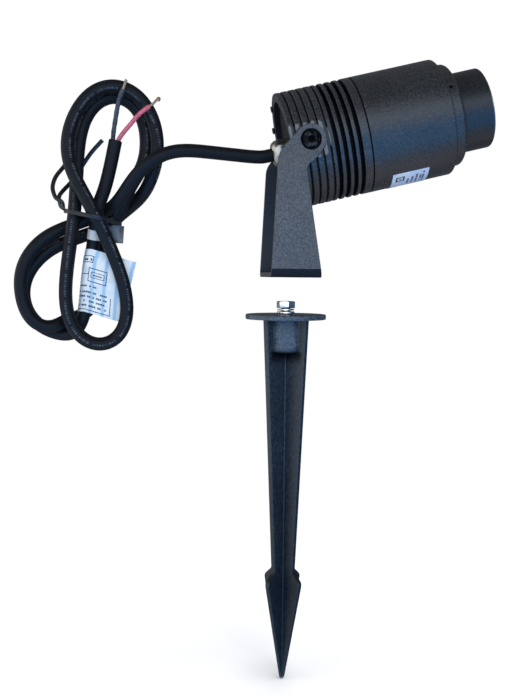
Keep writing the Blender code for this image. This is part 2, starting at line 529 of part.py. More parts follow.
# ============================== cable ==============================
# Route of the coil, from the gland to the stripped end, as (x, y, z) from the tilt axis.
# Passes through the tie are numbered in order along the cable; near is -Y and far is +Y.
ROUTE = [
    (-24.3, 0, -5.9), (-32, 0, -5.6), (-42, -1.0, -4.9), (-56, -4, -4.2), (-68.9, -8, -3.8),
    (-79.6, -10.5, -5.0), (-87.1, -11.5, -8.3), (-94.6, -11, -13.8), (-101.0, -8, -20.2),
    (-107.4, -3, -28.8),
    # 1: behind the near strands into the outer of the lower loops at the -X side
    (-113.5, 4, -36.5), (-122, 8.5, -41.5), (-131, 8.5, -45.0), (-139.6, 5, -48.6),
    (-153.0, 0, -54.9), (-162.8, -2, -65.0), (-168.3, -3, -77.0), (-168.0, -3, -88.8),
    (-165.2, -2, -101.0), (-158.7, -1, -108.9), (-149.0, 1, -111.8), (-138.8, 6, -108.8),
    (-130.2, 11, -102.0),
    # 2: up behind the label and round the outer upper loop
    (-124.5, 14, -92), (-122.5, 16, -78), (-122.3, 18, -64), (-120.3, 17.5, -52),
    (-112.3, 12, -42.7), (-102.6, 6, -34.1), (-94.3, 2.5, -24.5), (-89.5, 1, -14),
    (-87.8, 1, -3.0), (-88.6, 1, 9), (-93.5, 1, 21.5), (-103.0, 0, 31.3), (-115.0, -1, 34.1),
    (-126, -2.5, 29.5), (-134, -4, 19.5), (-138.8, -5.5, 8), (-140.2, -6.5, -4),
    (-138.0, -7.5, -15), (-133.5, -8.5, -25),
    # 3: near strand, down the +X side of the small near loop and up its -X side
    (-128.6, -9.3, -33.5), (-124.4, -10, -41.5), (-118.1, -9.5, -54.6), (-112.2, -8.5, -69),
    (-107.5, -7.5, -83.4), (-105.6, -7.5, -99.0), (-109.3, -7.5, -113.0), (-120.4, -7.5, -119.8),
    (-131.4, -7.5, -116.0), (-139.3, -7.5, -105.2), (-141.6, -7.5, -89.1), (-140.5, -7.5, -73.0),
    (-138.4, -7.0, -57.0), (-136.6, -6.0, -43.1),
    # 4: up the inner strand of the upper loop
    (-136.0, -3, -30.4), (-135.5, 0, -19), (-135.0, 2.5, -7), (-133.6, 3.5, 5),
    (-130.0, 4.5, 16.5), (-122.5, 6, 26.0), (-112.0, 7, 29.5), (-101.5, 7.5, 24.0),
    (-96.0, 7.5, 14), (-94.8, 7, 2.1), (-95.2, 6, -7), (-98.5, 4, -16), (-104.0, 4.5, -26.5),
    (-109.5, 6, -36.5),
    # 5: behind again into the inner of the lower loops at the -X side
    (-116.0, 8.2, -45.0), (-123.0, 9.5, -50.6), (-131, 9.0, -53.2), (-141, 7, -57.5),
    (-152, 6, -62.8), (-161, 5.5, -71), (-167, 5.5, -81), (-168.3, 5.5, -92), (-164.4, 5.5, -103),
    (-156.5, 6, -109.8), (-146.5, 6.5, -111.0), (-138.0, 4.5, -107.0),
    # 6: up past the label to the stripped end
    (-132.6, 2, -100.5), (-130.6, 1.5, -90), (-128.9, 1.2, -79), (-127.3, 0.9, -68),
    (-125.7, 0.5, -57), (-124, -0.2, -47), (-122.3, -0.8, -38.6), (-120.1, -1, -30.1),
    (-115.8, -1, -14.2), (-112.5, -1, 1.7)]

STRAND_GAP = 2 * CABLE_R + 0.75             # least distance between strand centres
RELAX_ROUNDS, SETTLE_ROUNDS = 220, 60       # all rounds; those at the end with no pull home
SEARCH_EVERY, SEARCH_MARGIN = 20, 5         # rounds between pair searches, extra reach of one
SAME_STRAND = 2.2                           # pairs nearer along the cable, in gaps, are ignored
PUSH_AXES = np.array([0.45, 1.0, 0.45])     # favours moving strands apart in depth
PUSH, CROWDING = 0.3, 0.35                  # share of an overlap undone, damping per contact
BEND_PULL = 0.25                            # share of the bend taken out by smoothing
SMOOTH, SETTLE_SMOOTH = 0.6, 0.25           # strength of smoothing before and during settling
HOME_PULL = 0.01
FIXED_POINTS = 6                            # points held at the gland
WIDEN_ROUNDS, WIDEN = 4, 0.8                # corrections of the route, share of the miss in each
MISS_SMOOTHINGS = 8


def even(path, step):
    """Resamples a path at an even step."""
    lengths = np.linalg.norm(np.diff(path, axis=0), axis=1)
    travelled = np.concatenate([[0], np.cumsum(lengths)])
    count = max(2, int(round(travelled[-1] / step)) + 1)
    targets = np.linspace(0, travelled[-1], count)
    return np.stack([np.interp(targets, travelled, path[:, k]) for k in range(3)], 1)


def spline(points, step):
    """Centripetal Catmull-Rom through the points, resampled at an even step."""
    knots = np.array(points, float)
    knots = np.vstack([2 * knots[0] - knots[1], knots, 2 * knots[-1] - knots[-2]])
    out = []
    for i in range(1, len(knots) - 2):
        p0, p1, p2, p3 = knots[i - 1:i + 3]
        t1 = math.sqrt(np.linalg.norm(p1 - p0))
        t2 = t1 + math.sqrt(np.linalg.norm(p2 - p1))
        t3 = t2 + math.sqrt(np.linalg.norm(p3 - p2))
        for t in np.linspace(t1, t2, 12, endpoint=False):
            a1 = (t1 - t) / t1 * p0 + t / t1 * p1
            a2 = (t2 - t) / (t2 - t1) * p1 + (t - t1) / (t2 - t1) * p2
            a3 = (t3 - t) / (t3 - t2) * p2 + (t - t2) / (t3 - t2) * p3
            b1 = (t2 - t) / t2 * a1 + t / t2 * a2
            b2 = (t3 - t) / (t3 - t1) * a2 + (t - t1) / (t3 - t1) * a3
            out.append((t2 - t) / (t2 - t1) * b1 + (t - t1) / (t2 - t1) * b2)
    out.append(knots[-2])
    return even(np.array(out), step)


def relax(path, gap):
    """Pushes strands apart until no two are nearer than gap, and keeps the bends even."""
    count = len(path)
    step = np.linalg.norm(path[1] - path[0])
    all_i, all_j = np.triu_indices(count, int(gap * SAME_STRAND / step))
    free = np.ones(count)
    free[:FIXED_POINTS] = 0
    home = path.copy()
    for k in range(RELAX_ROUNDS):
        settling = k >= RELAX_ROUNDS - SETTLE_ROUNDS
        if k % SEARCH_EVERY == 0:
            close = np.linalg.norm(path[all_j] - path[all_i], axis=1) < gap + SEARCH_MARGIN
            i, j = all_i[close], all_j[close]
        offset = path[j] - path[i]
        distance = np.linalg.norm(offset, axis=1)
        hit = distance < gap
        if hit.any():
            away = offset[hit] * PUSH_AXES
            away = away / np.maximum(np.linalg.norm(away, axis=1), 1e-6)[:, None]
            push = (gap - distance[hit])[:, None] * away * PUSH
            move = np.zeros_like(path)
            crowd = np.ones(count)
            np.add.at(move, i[hit], -push)
            np.add.at(move, j[hit], push)
            np.add.at(crowd, i[hit], CROWDING)
            np.add.at(crowd, j[hit], CROWDING)
            path = path + move / crowd[:, None] * free[:, None]
        smooth = path.copy()
        smooth[1:-1] += BEND_PULL * (path[:-2] + path[2:] - 2 * path[1:-1])
        strength = SETTLE_SMOOTH if settling else SMOOTH
        path = path + (smooth - path) * strength * free[:, None]
        if not settling:
            path = path + (home - path) * HOME_PULL * free[:, None]
    return path


def coil_path():
    """The relaxed route. Relaxing shrinks the loops, so the route is widened to make up for it."""
    want = spline(ROUTE, 2.0)
    aim = want.copy()
    for _ in range(WIDEN_ROUNDS):
        path = relax(aim, STRAND_GAP)
        miss = (want - path) * np.array([1.0, 0.0, 1.0])
        miss[:FIXED_POINTS] = 0
        for _ in range(MISS_SMOOTHINGS):
            miss[1:-1] = (miss[:-2] + 2 * miss[1:-1] + miss[2:]) / 4
        aim = aim + WIDEN * miss
    path = path + np.array([PIVOT_X, 0, PIVOT_Z])
    x, z = polar(CABLE_HINGE_A, TILT_DEG, (PIVOT_X, PIVOT_Z))
    path[0] = (x, 0, z)
    return path


def from_pivot(points):
    return [(x + PIVOT_X, y, z + PIVOT_Z) for x, y, z in points]


PATH = coil_path()
sweep("cable_coil", even(PATH, 6.8), CABLE_R, 8, RUBBER, round_start=True)

# stripped cores, starting side by side just beyond the jacket's end
end_dir = (PATH[-1] - PATH[-4]) / np.linalg.norm(PATH[-1] - PATH[-4])
core_base = PATH[-1] + end_dir * 1.1
core_shift = np.cross(end_dir, (0, 1, 0)) * 1.7
black_route = from_pivot([
    (-113.4, -3.2, 7.0), (-112.3, -5.6, 12.6), (-110.9, -7.6, 20.0), (-109.6, -8.6, 25.2),
    (-107.5, -9.2, 30.4)])
red_route = from_pivot([
    (-107.6, -3.0, 6.6), (-103.2, -5.0, 11.4), (-99.6, -6.8, 15.4), (-96.2, -8.0, 18.4),
    (-92.1, -8.6, 21.3)])
sweep("black_core", spline([core_base + core_shift, *black_route], 3.0), 1.25, 8, BLACK_CORE)
sweep("red_core", spline([core_base - core_shift, *red_route], 3.0), 1.35, 8, RED_CORE)
black_copper = [(-107.3, -9.2, 31.0), (-106.3, -9.2, 33.8), (-105.3, -9.2, 36.6)]
red_copper = [(-91.5, -8.6, 21.7), (-89.9, -8.6, 23.0), (-87.9, -8.6, 24.7)]
sweep("black_core_copper", from_pivot(black_copper), 0.75, 6, COPPER)
sweep("red_core_copper", from_pivot(red_copper), 0.75, 6, COPPER)

# ============================== label, tab and tie ==============================
# label flag: corners as (x, z) from the tilt axis
LABEL_TOP_Z = -62.5
LABEL = [(-128.8, LABEL_TOP_Z), (-100.0, -70.2), (-109.0, -106.5), (-136.3, -99.9)]


def label_y(z):
    """Depth of the film, between the near strand and the last strand of the cable."""
    return -3.9 + 1.3 * (LABEL_TOP_Z - z) / 44.0


label_verts = from_pivot([(x, label_y(z) + half, z) for half in (-0.2, 0.2) for x, z in LABEL])
label_sides = [[k, (k + 1) % 4, 4 + (k + 1) % 4, 4 + k] for k in range(4)]
make("cable_label", label_verts, [[0, 1, 2, 3], [7, 6, 5, 4]] + label_sides, PAPER)

# smoky tab: flat film just below the tie
TAB = [(-117.4, -47.9), (-107.3, -48.6), (-108.0, -59.0), (-114.0, -58.7)]
prism("cable_tab", [(x + PIVOT_X, z + PIVOT_Z) for x, z in TAB], -2.1, -1.7, SMOKE, ROOT, "Y")


def half_hull(points):
    """One side of the convex hull of sorted points."""
    hull = []
    for x, y in points:
        while len(hull) > 1:
            (ax, ay), (bx, by) = hull[-2:]
            if (bx - ax) * (y - ay) - (by - ay) * (x - ax) > 0:
                break
            hull.pop()
        hull.append((x, y))
    return hull


def tie_loop(path, centre, normal, reach, segments=32):
    """Closed loop in a plane, hugging every strand that crosses it."""
    centre, normal = np.array(centre, float), np.array(normal, float)
    normal /= np.linalg.norm(normal)
    across = np.array([1.0, 0, 0]) - normal * normal[0]
    across /= np.linalg.norm(across)
    deep = np.cross(normal, across)
    points = []
    for point in path:
        height = (point - centre) @ normal
        if abs(height) < reach:
            radius = math.sqrt(reach * reach - height * height)
            u, v = (point - centre) @ across, (point - centre) @ deep
            points += [(u + radius * math.cos(angle), v + radius * math.sin(angle))
                       for angle in np.linspace(0, 2 * math.pi, 24, endpoint=False)]
    points.sort()
    hull = half_hull(points)[:-1] + half_hull(points[::-1])[:-1]
    hull.append(hull[0])
    outline = even(np.array([(u, v, 0) for u, v in hull]), 1.0)
    index = np.arange(len(outline))
    return [centre + across * np.interp(t, index, outline[:, 0])
            + deep * np.interp(t, index, outline[:, 1])
            for t in np.linspace(0, len(outline) - 1, segments + 1)[:-1]]


# twist tie: two loose ends and a loop round the bundle, past the lead from the gland
TIE_CENTRE = from_pivot([(-124.0, 3.0, -44.0)])[0]
loop = tie_loop(PATH[30:], TIE_CENTRE, (0.21, 0.0, 0.98), CABLE_R + 1.6)
lead_in = from_pivot([
    (-141.7, 9.8, -8.7), (-144.3, 9.6, -12.2), (-146.9, 8.8, -16.4), (-149.5, 6.5, -21.1),
    (-150.3, 3.5, -26.7), (-149.3, 0.5, -31.0), (-147.0, -1.8, -35.0), (-144.6, -2.2, -38.6)])
lead_out = from_pivot([
    (-145.0, 2.6, -37.6), (-146.4, 4.6, -32.5), (-143.5, 7.5, -27.2), (-140.1, 9.8, -22.8),
    (-136.9, 10.4, -17.9), (-133.6, 10.0, -13.1), (-127.6, 7.5, -4.6), (-120.6, 4.5, 2.7)])
sweep("twist_tie", spline([*lead_in, *loop, *lead_out], 4.4), 1.1, 6, RUBBER)
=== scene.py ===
"""Looks of the light projector stake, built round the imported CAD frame.
Pieces are modelled in millimetres, in the CAD frame or in the head's own frame, and scaled to metres on the mesh."""
import json
import math
import bpy
import bmesh
import numpy as np
from mathutils import Matrix, Vector

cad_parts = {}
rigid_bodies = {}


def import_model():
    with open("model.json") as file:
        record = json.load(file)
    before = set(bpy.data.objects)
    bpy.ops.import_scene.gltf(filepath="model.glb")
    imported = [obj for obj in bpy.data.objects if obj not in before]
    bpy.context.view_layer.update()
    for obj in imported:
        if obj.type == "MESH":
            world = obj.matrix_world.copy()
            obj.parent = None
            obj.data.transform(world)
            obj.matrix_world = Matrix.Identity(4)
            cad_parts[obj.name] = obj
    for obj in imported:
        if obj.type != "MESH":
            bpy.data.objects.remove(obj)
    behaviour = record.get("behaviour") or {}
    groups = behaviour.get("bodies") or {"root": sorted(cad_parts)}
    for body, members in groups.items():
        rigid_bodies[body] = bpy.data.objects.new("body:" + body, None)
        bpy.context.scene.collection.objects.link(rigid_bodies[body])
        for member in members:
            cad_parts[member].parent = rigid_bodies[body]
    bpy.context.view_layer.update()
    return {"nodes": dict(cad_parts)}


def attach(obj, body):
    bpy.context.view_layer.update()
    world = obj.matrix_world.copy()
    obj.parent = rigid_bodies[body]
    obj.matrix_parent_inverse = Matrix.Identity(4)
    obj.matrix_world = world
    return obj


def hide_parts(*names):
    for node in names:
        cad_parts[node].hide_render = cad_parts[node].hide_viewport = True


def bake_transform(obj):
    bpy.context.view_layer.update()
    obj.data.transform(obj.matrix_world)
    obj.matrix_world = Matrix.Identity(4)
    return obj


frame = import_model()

MM = 0.001
SEG = 192            # facets round the big turned parts

# ---- dimensions shared with the CAD (mm) ----
PIVOT = np.array([9.0, 0.0, 331.3])
TILT = math.radians(13.6)
BODY_R = 35.0
REAR_A, FRONT_A = -10.56, 86.2
TUBE_R, TUBE_A0, TUBE_A1 = 24.1, 66.0, 113.7
BEZEL_R, BEZEL_A = 30.8, 94.0
FLAT_Y, FLAT_R = 33.4, 12.7
ARM_OUT, SHEET, BASE_Z, BEND_OUT = 40.3, 3.0, 253.0, 5.0
FLANGE_R, FLANGE_Z0, FLANGE_Z1 = 24.75, 227.3, 230.4
RIB_TURN = 41.3
CABLE_R = 4.0
CABLE_HINGE_A = -25.0

HEAD_R = np.array([[math.cos(TILT), 0, -math.sin(TILT)], [0, 1, 0], [math.sin(TILT), 0, math.cos(TILT)]])
HEAD = (HEAD_R, PIVOT)
WORLD = (np.eye(3), np.zeros(3))


# =========================== materials ===========================
def node(nt, kind, props=None, **inputs):
    n = nt.nodes.new("ShaderNode" + kind)
    for k, v in (props or {}).items():
        setattr(n, k, v)
    for k, v in inputs.items():
        key = int(k[1:]) if k[0] == "i" and k[1:].isdigit() else k.replace("_", " ")
        s = n.inputs[key]
        if isinstance(v, bpy.types.NodeSocket):
            nt.links.new(v, s)
        else:
            s.default_value = v
    return n


def val(nt, op, a, b=0.0, c=0.0, clamp=False):
    n = nt.nodes.new("ShaderNodeMath")
    n.operation = op
    n.use_clamp = clamp
    for k, v in enumerate((a, b, c)):
        if isinstance(v, bpy.types.NodeSocket):
            nt.links.new(v, n.inputs[k])
        elif k < len(n.inputs):
            n.inputs[k].default_value = v
    return n.outputs[0]


def mix(nt, fac, a, b):
    n = nt.nodes.new("ShaderNodeMix")
    n.data_type = "RGBA"
    for k, v in ((0, fac), (6, a), (7, b)):
        if isinstance(v, bpy.types.NodeSocket):
            nt.links.new(v, n.inputs[k])
        else:
            n.inputs[k].default_value = (*v, 1) if isinstance(v, tuple) and len(v) == 3 else v
    return n.outputs[2]


def ramp(nt, fac, lo, hi):
    """0 below lo, 1 above hi, smooth between."""
    n = node(nt, "MapRange", {"interpolation_type": "SMOOTHSTEP"}, Value=fac, From_Min=lo, From_Max=hi)
    return n.outputs[0]


def noise(nt, vec, scale, detail=2.0, rough=0.5, lac=2.0):
    n = node(nt, "TexNoise", None, Vector=vec, Scale=scale, Detail=detail, Roughness=rough, Lacunarity=lac)
    return n.outputs[0]


def start(name):
    m = bpy.data.materials.new(name)
    m.use_nodes = True
    nt = m.node_tree
    b = nt.nodes["Principled BSDF"]
    tc = node(nt, "TexCoord")
    return m, nt, b, tc.outputs["Object"]


def setin(nt, b, name, v):
    if isinstance(v, bpy.types.NodeSocket):
        nt.links.new(v, b.inputs[name])
    else:
        b.inputs[name].default_value = (*v, 1) if isinstance(v, tuple) and len(v) == 3 else v


def bump(nt, height, dist, strength=1.0, normal=None):
    n = node(nt, "Bump", None, Height=height, Distance=dist, Strength=strength)
    if normal is not None:
        nt.links.new(normal, n.inputs["Normal"])
    return n.outputs[0]


def textured(name, dark, light, rough=(0.4, 0.55), metal=0.0, spec=0.5, fine=2600.0, mid=900.0, depth=0.00006, lo=0.35, hi=0.65,
             broad=35.0, tone=0.12, edge_wear_and_highlight=0.0, edge_wear_and_highlight_colour=(0.5, 0.5, 0.5), zone=None):
    """Two-scale grain in colour, roughness and bump, a broad tonal drift, and optional lighter convex edges: wear, and
    on the stake also a painted edge highlight.
    """
    m, nt, b, co = start(name)
    f = noise(nt, co, fine, 2.0, 0.6)
    g = noise(nt, co, mid, 3.0, 0.55)
    h = noise(nt, co, broad, 2.0)
    grain = val(nt, "MULTIPLY_ADD", f, 0.55, val(nt, "MULTIPLY", g, 0.45))
    col = mix(nt, ramp(nt, grain, lo, hi), dark, light)
    drift = val(nt, "MULTIPLY_ADD", ramp(nt, h, 0.3, 0.7), 2 * tone, 1 - tone)
    # zone scales colour and specular; on the stake it carries a painted shadow below the boss
    if zone:
        k = zone(nt, co)
        drift = val(nt, "MULTIPLY", drift, k)
        spec = val(nt, "MULTIPLY", spec, val(nt, "MINIMUM", k, 1.25))
    hsv = node(nt, "HueSaturation", None, Color=col, Value=drift)
    col = hsv.outputs[0]
    # lighter convex edges: wear; on the stake they are also a painted edge highlight
    if edge_wear_and_highlight:
        geo = node(nt, "NewGeometry")
        edge = ramp(nt, val(nt, "MULTIPLY_ADD", g, 0.03, geo.outputs["Pointiness"]), 0.535, 0.60)
        col = mix(nt, val(nt, "MULTIPLY", edge, edge_wear_and_highlight), col, edge_wear_and_highlight_colour)
    setin(nt, b, "Base Color", col)
    r = node(nt, "MapRange", None, Value=g, From_Min=0.3, From_Max=0.7, To_Min=rough[0], To_Max=rough[1])
    setin(nt, b, "Roughness", r.outputs[0])
    setin(nt, b, "Metallic", metal)
    setin(nt, b, "Specular IOR Level", spec)
    n1 = bump(nt, g, depth * 1.5, 0.6)
    setin(nt, b, "Normal", bump(nt, f, depth, 0.8, n1))
    return m


def metal(name, colour, rough=0.25, brush=0.0, tint=None, depth=0.00001):
    """Plated or machined metal with fine turning or brushing marks and slight cloudiness."""
    m, nt, b, co = start(name)
    g = noise(nt, co, 260.0, 3.0)
    f = noise(nt, co, 4200.0, 2.0)
    col = mix(nt, ramp(nt, g, 0.3, 0.7), tuple(c * 0.82 for c in colour), colour)
    if tint:
        col = mix(nt, ramp(nt, noise(nt, co, 140.0), 0.45, 0.75), col, tint)
    setin(nt, b, "Base Color", col)
    setin(nt, b, "Metallic", 1.0)
    r = node(nt, "MapRange", None, Value=g, From_Min=0.25, From_Max=0.75, To_Min=rough * 0.75, To_Max=rough * 1.3)
    setin(nt, b, "Roughness", r.outputs[0])
    if brush:
        ax = node(nt, "VectorRotate", {"rotation_type": "Y_AXIS"}, Vector=co, Angle=TILT)
        st = node(nt, "Mapping", None, Vector=ax.outputs[0], Scale=(9000.0, 300.0, 300.0))
        b.inputs["Anisotropic"].default_value = brush
        setin(nt, b, "Normal", bump(nt, noise(nt, st.outputs[0], 1.0, 1.0), depth, 0.5))
    else:
        setin(nt, b, "Normal", bump(nt, f, depth, 0.5))
    return m


COAT = textured("charcoal_powder_coat", (0.011, 0.0115, 0.0125), (0.038, 0.039, 0.042), (0.23, 0.37), 0.0, 0.62, 1700, 900, 0.00014,
                lo=0.42, hi=0.60, edge_wear_and_highlight=0.3, edge_wear_and_highlight_colour=(0.10, 0.10, 0.105))
TUBEM = textured("charcoal_tube_coat", (0.007, 0.0075, 0.009), (0.020, 0.021, 0.024), (0.26, 0.38), 0.0, 0.5, 1700, 900, 0.00008,
                 lo=0.42, hi=0.60)
GROOVE = textured("groove_shadow_coat", (0.0022, 0.0023, 0.0026), (0.005, 0.005, 0.006), (0.6, 0.75), 0.0, 0.15, 3000, 1100, 0.00003)
# painted shade: a darker, less glossy coat for the rear recess
RECESS_SHADE = textured("recess_painted_shade_coat", (0.006, 0.006, 0.006), (0.012, 0.011, 0.010), (0.5, 0.65), 0.0, 0.3, 3000, 1100, 0.00004)
def flat_painted_light_material():
    """Coated flat with painted light: bright patches beside each groove along its edge, outside the shade of the washer
    and arm.
    """
    m, nt, b, co = start("milled_flat_painted_light")
    mv = node(nt, "VectorMath", {"operation": "SUBTRACT"})
    nt.links.new(co, mv.inputs[0])
    mv.inputs[1].default_value = (PIVOT[0] * MM, 0, PIVOT[2] * MM)
    ax = node(nt, "VectorRotate", {"rotation_type": "Y_AXIS"}, Vector=mv.outputs[0], Angle=TILT)
    sep = node(nt, "SeparateXYZ", None, Vector=ax.outputs[0])
    a, v = val(nt, "MULTIPLY", sep.outputs[0], 1000.0), val(nt, "MULTIPLY", sep.outputs[2], 1000.0)
    cell = val(nt, "FRACT", val(nt, "DIVIDE", val(nt, "ADD", a, 20.75), 4.55))
    # painted light: a bright strip beside each groove, kept outside radius 9.3 mm of the pivot, where the washer and
    # arm shade the flat
    lit_stripe = val(nt, "MULTIPLY", ramp(nt, cell, 0.04, 0.12), ramp(nt, cell, 0.64, 0.54))
    rad = val(nt, "SQRT", val(nt, "ADD", val(nt, "MULTIPLY", a, a), val(nt, "MULTIPLY", v, v)))
    edge = ramp(nt, rad, 9.3, 9.8)
    grit = noise(nt, co, 1800.0, 2.0)
    k = val(nt, "MULTIPLY", val(nt, "MULTIPLY", lit_stripe, edge), ramp(nt, grit, 0.2, 0.45))
    setin(nt, b, "Base Color", mix(nt, k, (0.022, 0.023, 0.025), (0.175, 0.189, 0.200)))
    setin(nt, b, "Roughness", 0.42)
    setin(nt, b, "Normal", bump(nt, grit, 0.00005, 0.6))
    return m


FLAT_PAINTED_LIGHT = flat_painted_light_material()
STEELB = textured("blue_grey_powder_coat", (0.035, 0.038, 0.043), (0.107, 0.114, 0.123), (0.34, 0.48), 0.0, 0.5, 2300, 1000, 0.00009,
                  lo=0.41, hi=0.61, edge_wear_and_highlight=0.35, edge_wear_and_highlight_colour=(0.20, 0.22, 0.24))
# painted shade: darker copies of the blue-grey coat for the bracket's inner faces and the downward faces round its
# bends
STEELB_SHADE_INNER = textured("blue_grey_coat_painted_shade_inner", (0.018, 0.022, 0.028), (0.036, 0.043, 0.054), (0.5, 0.65), 0.0, 0.3, 1900, 900, 0.00008)
STEELB_SHADE_BEND = textured("blue_grey_coat_painted_shade_bend", (0.005, 0.007, 0.011), (0.014, 0.018, 0.026), (0.5, 0.65), 0.0, 0.15, 1700, 900, 0.00010)
def stake_tone_and_painted_shadow(nt, co):
    """Tone along the stake: darker towards the driven end, lighter on the boss and the flange rim, and a painted shadow
    just below the boss.
    """
    sep = node(nt, "SeparateXYZ", None, Vector=co)
    x, y, z = sep.outputs
    r = val(nt, "SQRT", val(nt, "ADD", val(nt, "MULTIPLY", x, x), val(nt, "MULTIPLY", y, y)))
    body = val(nt, "MULTIPLY_ADD", ramp(nt, z, 0.05, 0.20), 0.42, 0.58)
    boss = val(nt, "MULTIPLY", ramp(nt, z, 0.2085, 0.2105), ramp(nt, r, 0.01295, 0.01275))
    rim = val(nt, "MULTIPLY", ramp(nt, z, 0.2270, 0.2274), ramp(nt, r, 0.0240, 0.0244))
    # painted shadow: colour and specular darkened just below the boss, where its shade falls
    boss_painted_shadow = val(nt, "MULTIPLY", val(nt, "MULTIPLY", ramp(nt, z, 0.1985, 0.2055), ramp(nt, z, 0.2085, 0.2070)), ramp(nt, r, 0.0165, 0.0120))
    body = val(nt, "MULTIPLY", body, val(nt, "MULTIPLY_ADD", boss_painted_shadow, -0.8, 1.0))
    return val(nt, "MULTIPLY_ADD", val(nt, "MAXIMUM", boss, rim), 2.2, body)


# the stake's lighter bluish edges are a painted edge highlight, and its zone paints a shadow below the boss
STAKEM = textured("black_moulded_nylon", (0.0055, 0.0085, 0.012), (0.024, 0.033, 0.045), (0.30, 0.46), 0.0, 0.6, 1500, 600, 0.00014,
                  lo=0.42, hi=0.62, broad=25, tone=0.25, edge_wear_and_highlight=0.6, edge_wear_and_highlight_colour=(0.10, 0.125, 0.15), zone=stake_tone_and_painted_shadow)
ZINC = metal("bright_zinc_plate", (0.86, 0.82, 0.74), 0.24, tint=(0.74, 0.72, 0.68))
NICKEL = metal("nickel_plated_brass", (0.66, 0.62, 0.53), 0.27, tint=(0.42, 0.35, 0.24))
ALU = metal("turned_aluminium", (0.72, 0.73, 0.74), 0.28, brush=0.4)
BRIGHT = metal("bright_turned_edge", (0.86, 0.87, 0.87), 0.22)
BLACKOX = textured("black_oxide_steel", (0.003, 0.003, 0.004), (0.009, 0.009, 0.011), (0.20, 0.34), 0.3, 0.4, 3600, 900, 0.00001,
                   edge_wear_and_highlight=0.35, edge_wear_and_highlight_colour=(0.12, 0.13, 0.15))
COPPER = metal("bare_copper_strand", (0.78, 0.50, 0.30), 0.28, tint=(0.45, 0.27, 0.14))
PCBM = textured("circuit_board", (0.010, 0.07, 0.03), (0.02, 0.12, 0.05), (0.3, 0.45), 0.0, 0.5, 1500, 300, 0.00002)
LEDM = textured("led_phosphor", (0.75, 0.5, 0.05), (0.9, 0.7, 0.12), (0.3, 0.4), 0.0, 0.5, 2500, 900, 0.00002)
CAPM = textured("capacitor_sleeve", (0.012, 0.02, 0.05), (0.02, 0.035, 0.08), (0.3, 0.4), 0.0, 0.5, 2500, 900, 0.00001)
FERR = textured("ferrite_block", (0.03, 0.028, 0.025), (0.06, 0.055, 0.05), (0.6, 0.75), 0.0, 0.4, 2500, 900, 0.00004)
WASHM = textured("black_washer_nylon", (0.012, 0.012, 0.013), (0.022, 0.022, 0.024), (0.4, 0.5), 0.0, 0.5, 2500, 900, 0.00003)
SEALM = textured("black_seal_rubber", (0.008, 0.008, 0.009), (0.016, 0.016, 0.018), (0.5, 0.65), 0.0, 0.4, 2500, 900, 0.00003)
TIEM = textured("tie_plastic", (0.006, 0.0065, 0.008), (0.014, 0.015, 0.018), (0.3, 0.45), 0.0, 0.5, 2500, 700, 0.00003)
SLEEVEM = textured("white_sleeve", (0.62, 0.64, 0.66), (0.78, 0.80, 0.82), (0.3, 0.45), 0.0, 0.5, 2500, 700, 0.00002)
# painted highlights: coarse bright blue-grey patches on the black pivot screw heads stand in for their glints
PIVOT_SCREW_PAINTED_GLINTS = textured("pivot_screw_black_painted_glints", (0.0008, 0.0008, 0.0012), (0.050, 0.056, 0.066), (0.35, 0.65), 0.0, 0.16, 620, 420, 0.00030,
                   lo=0.50, hi=0.62)
# painted shade: near-black, low-specular material for the insides of screw sockets and cross recesses
SOCKET_SHADE = textured("screw_socket_painted_shade", (0.0015, 0.0015, 0.0018), (0.003, 0.003, 0.0035), (0.7, 0.85), 0.0, 0.08, 3000, 900, 0.00001)


def glass_material():
    m, nt, b, co = start("optical_glass")
    setin(nt, b, "Base Color", mix(nt, noise(nt, co, 60.0), (0.93, 0.96, 0.97), (0.98, 0.99, 1.0)))
    setin(nt, b, "Transmission Weight", 1.0)
    setin(nt, b, "IOR", 1.5)
    setin(nt, b, "Roughness", val(nt, "MULTIPLY", noise(nt, co, 900.0), 0.03))
    b.inputs["Coat Weight"].default_value = 0.4
    b.inputs["Coat Tint"].default_value = (0.55, 0.7, 1.0, 1)
    return m


GLASS = glass_material()


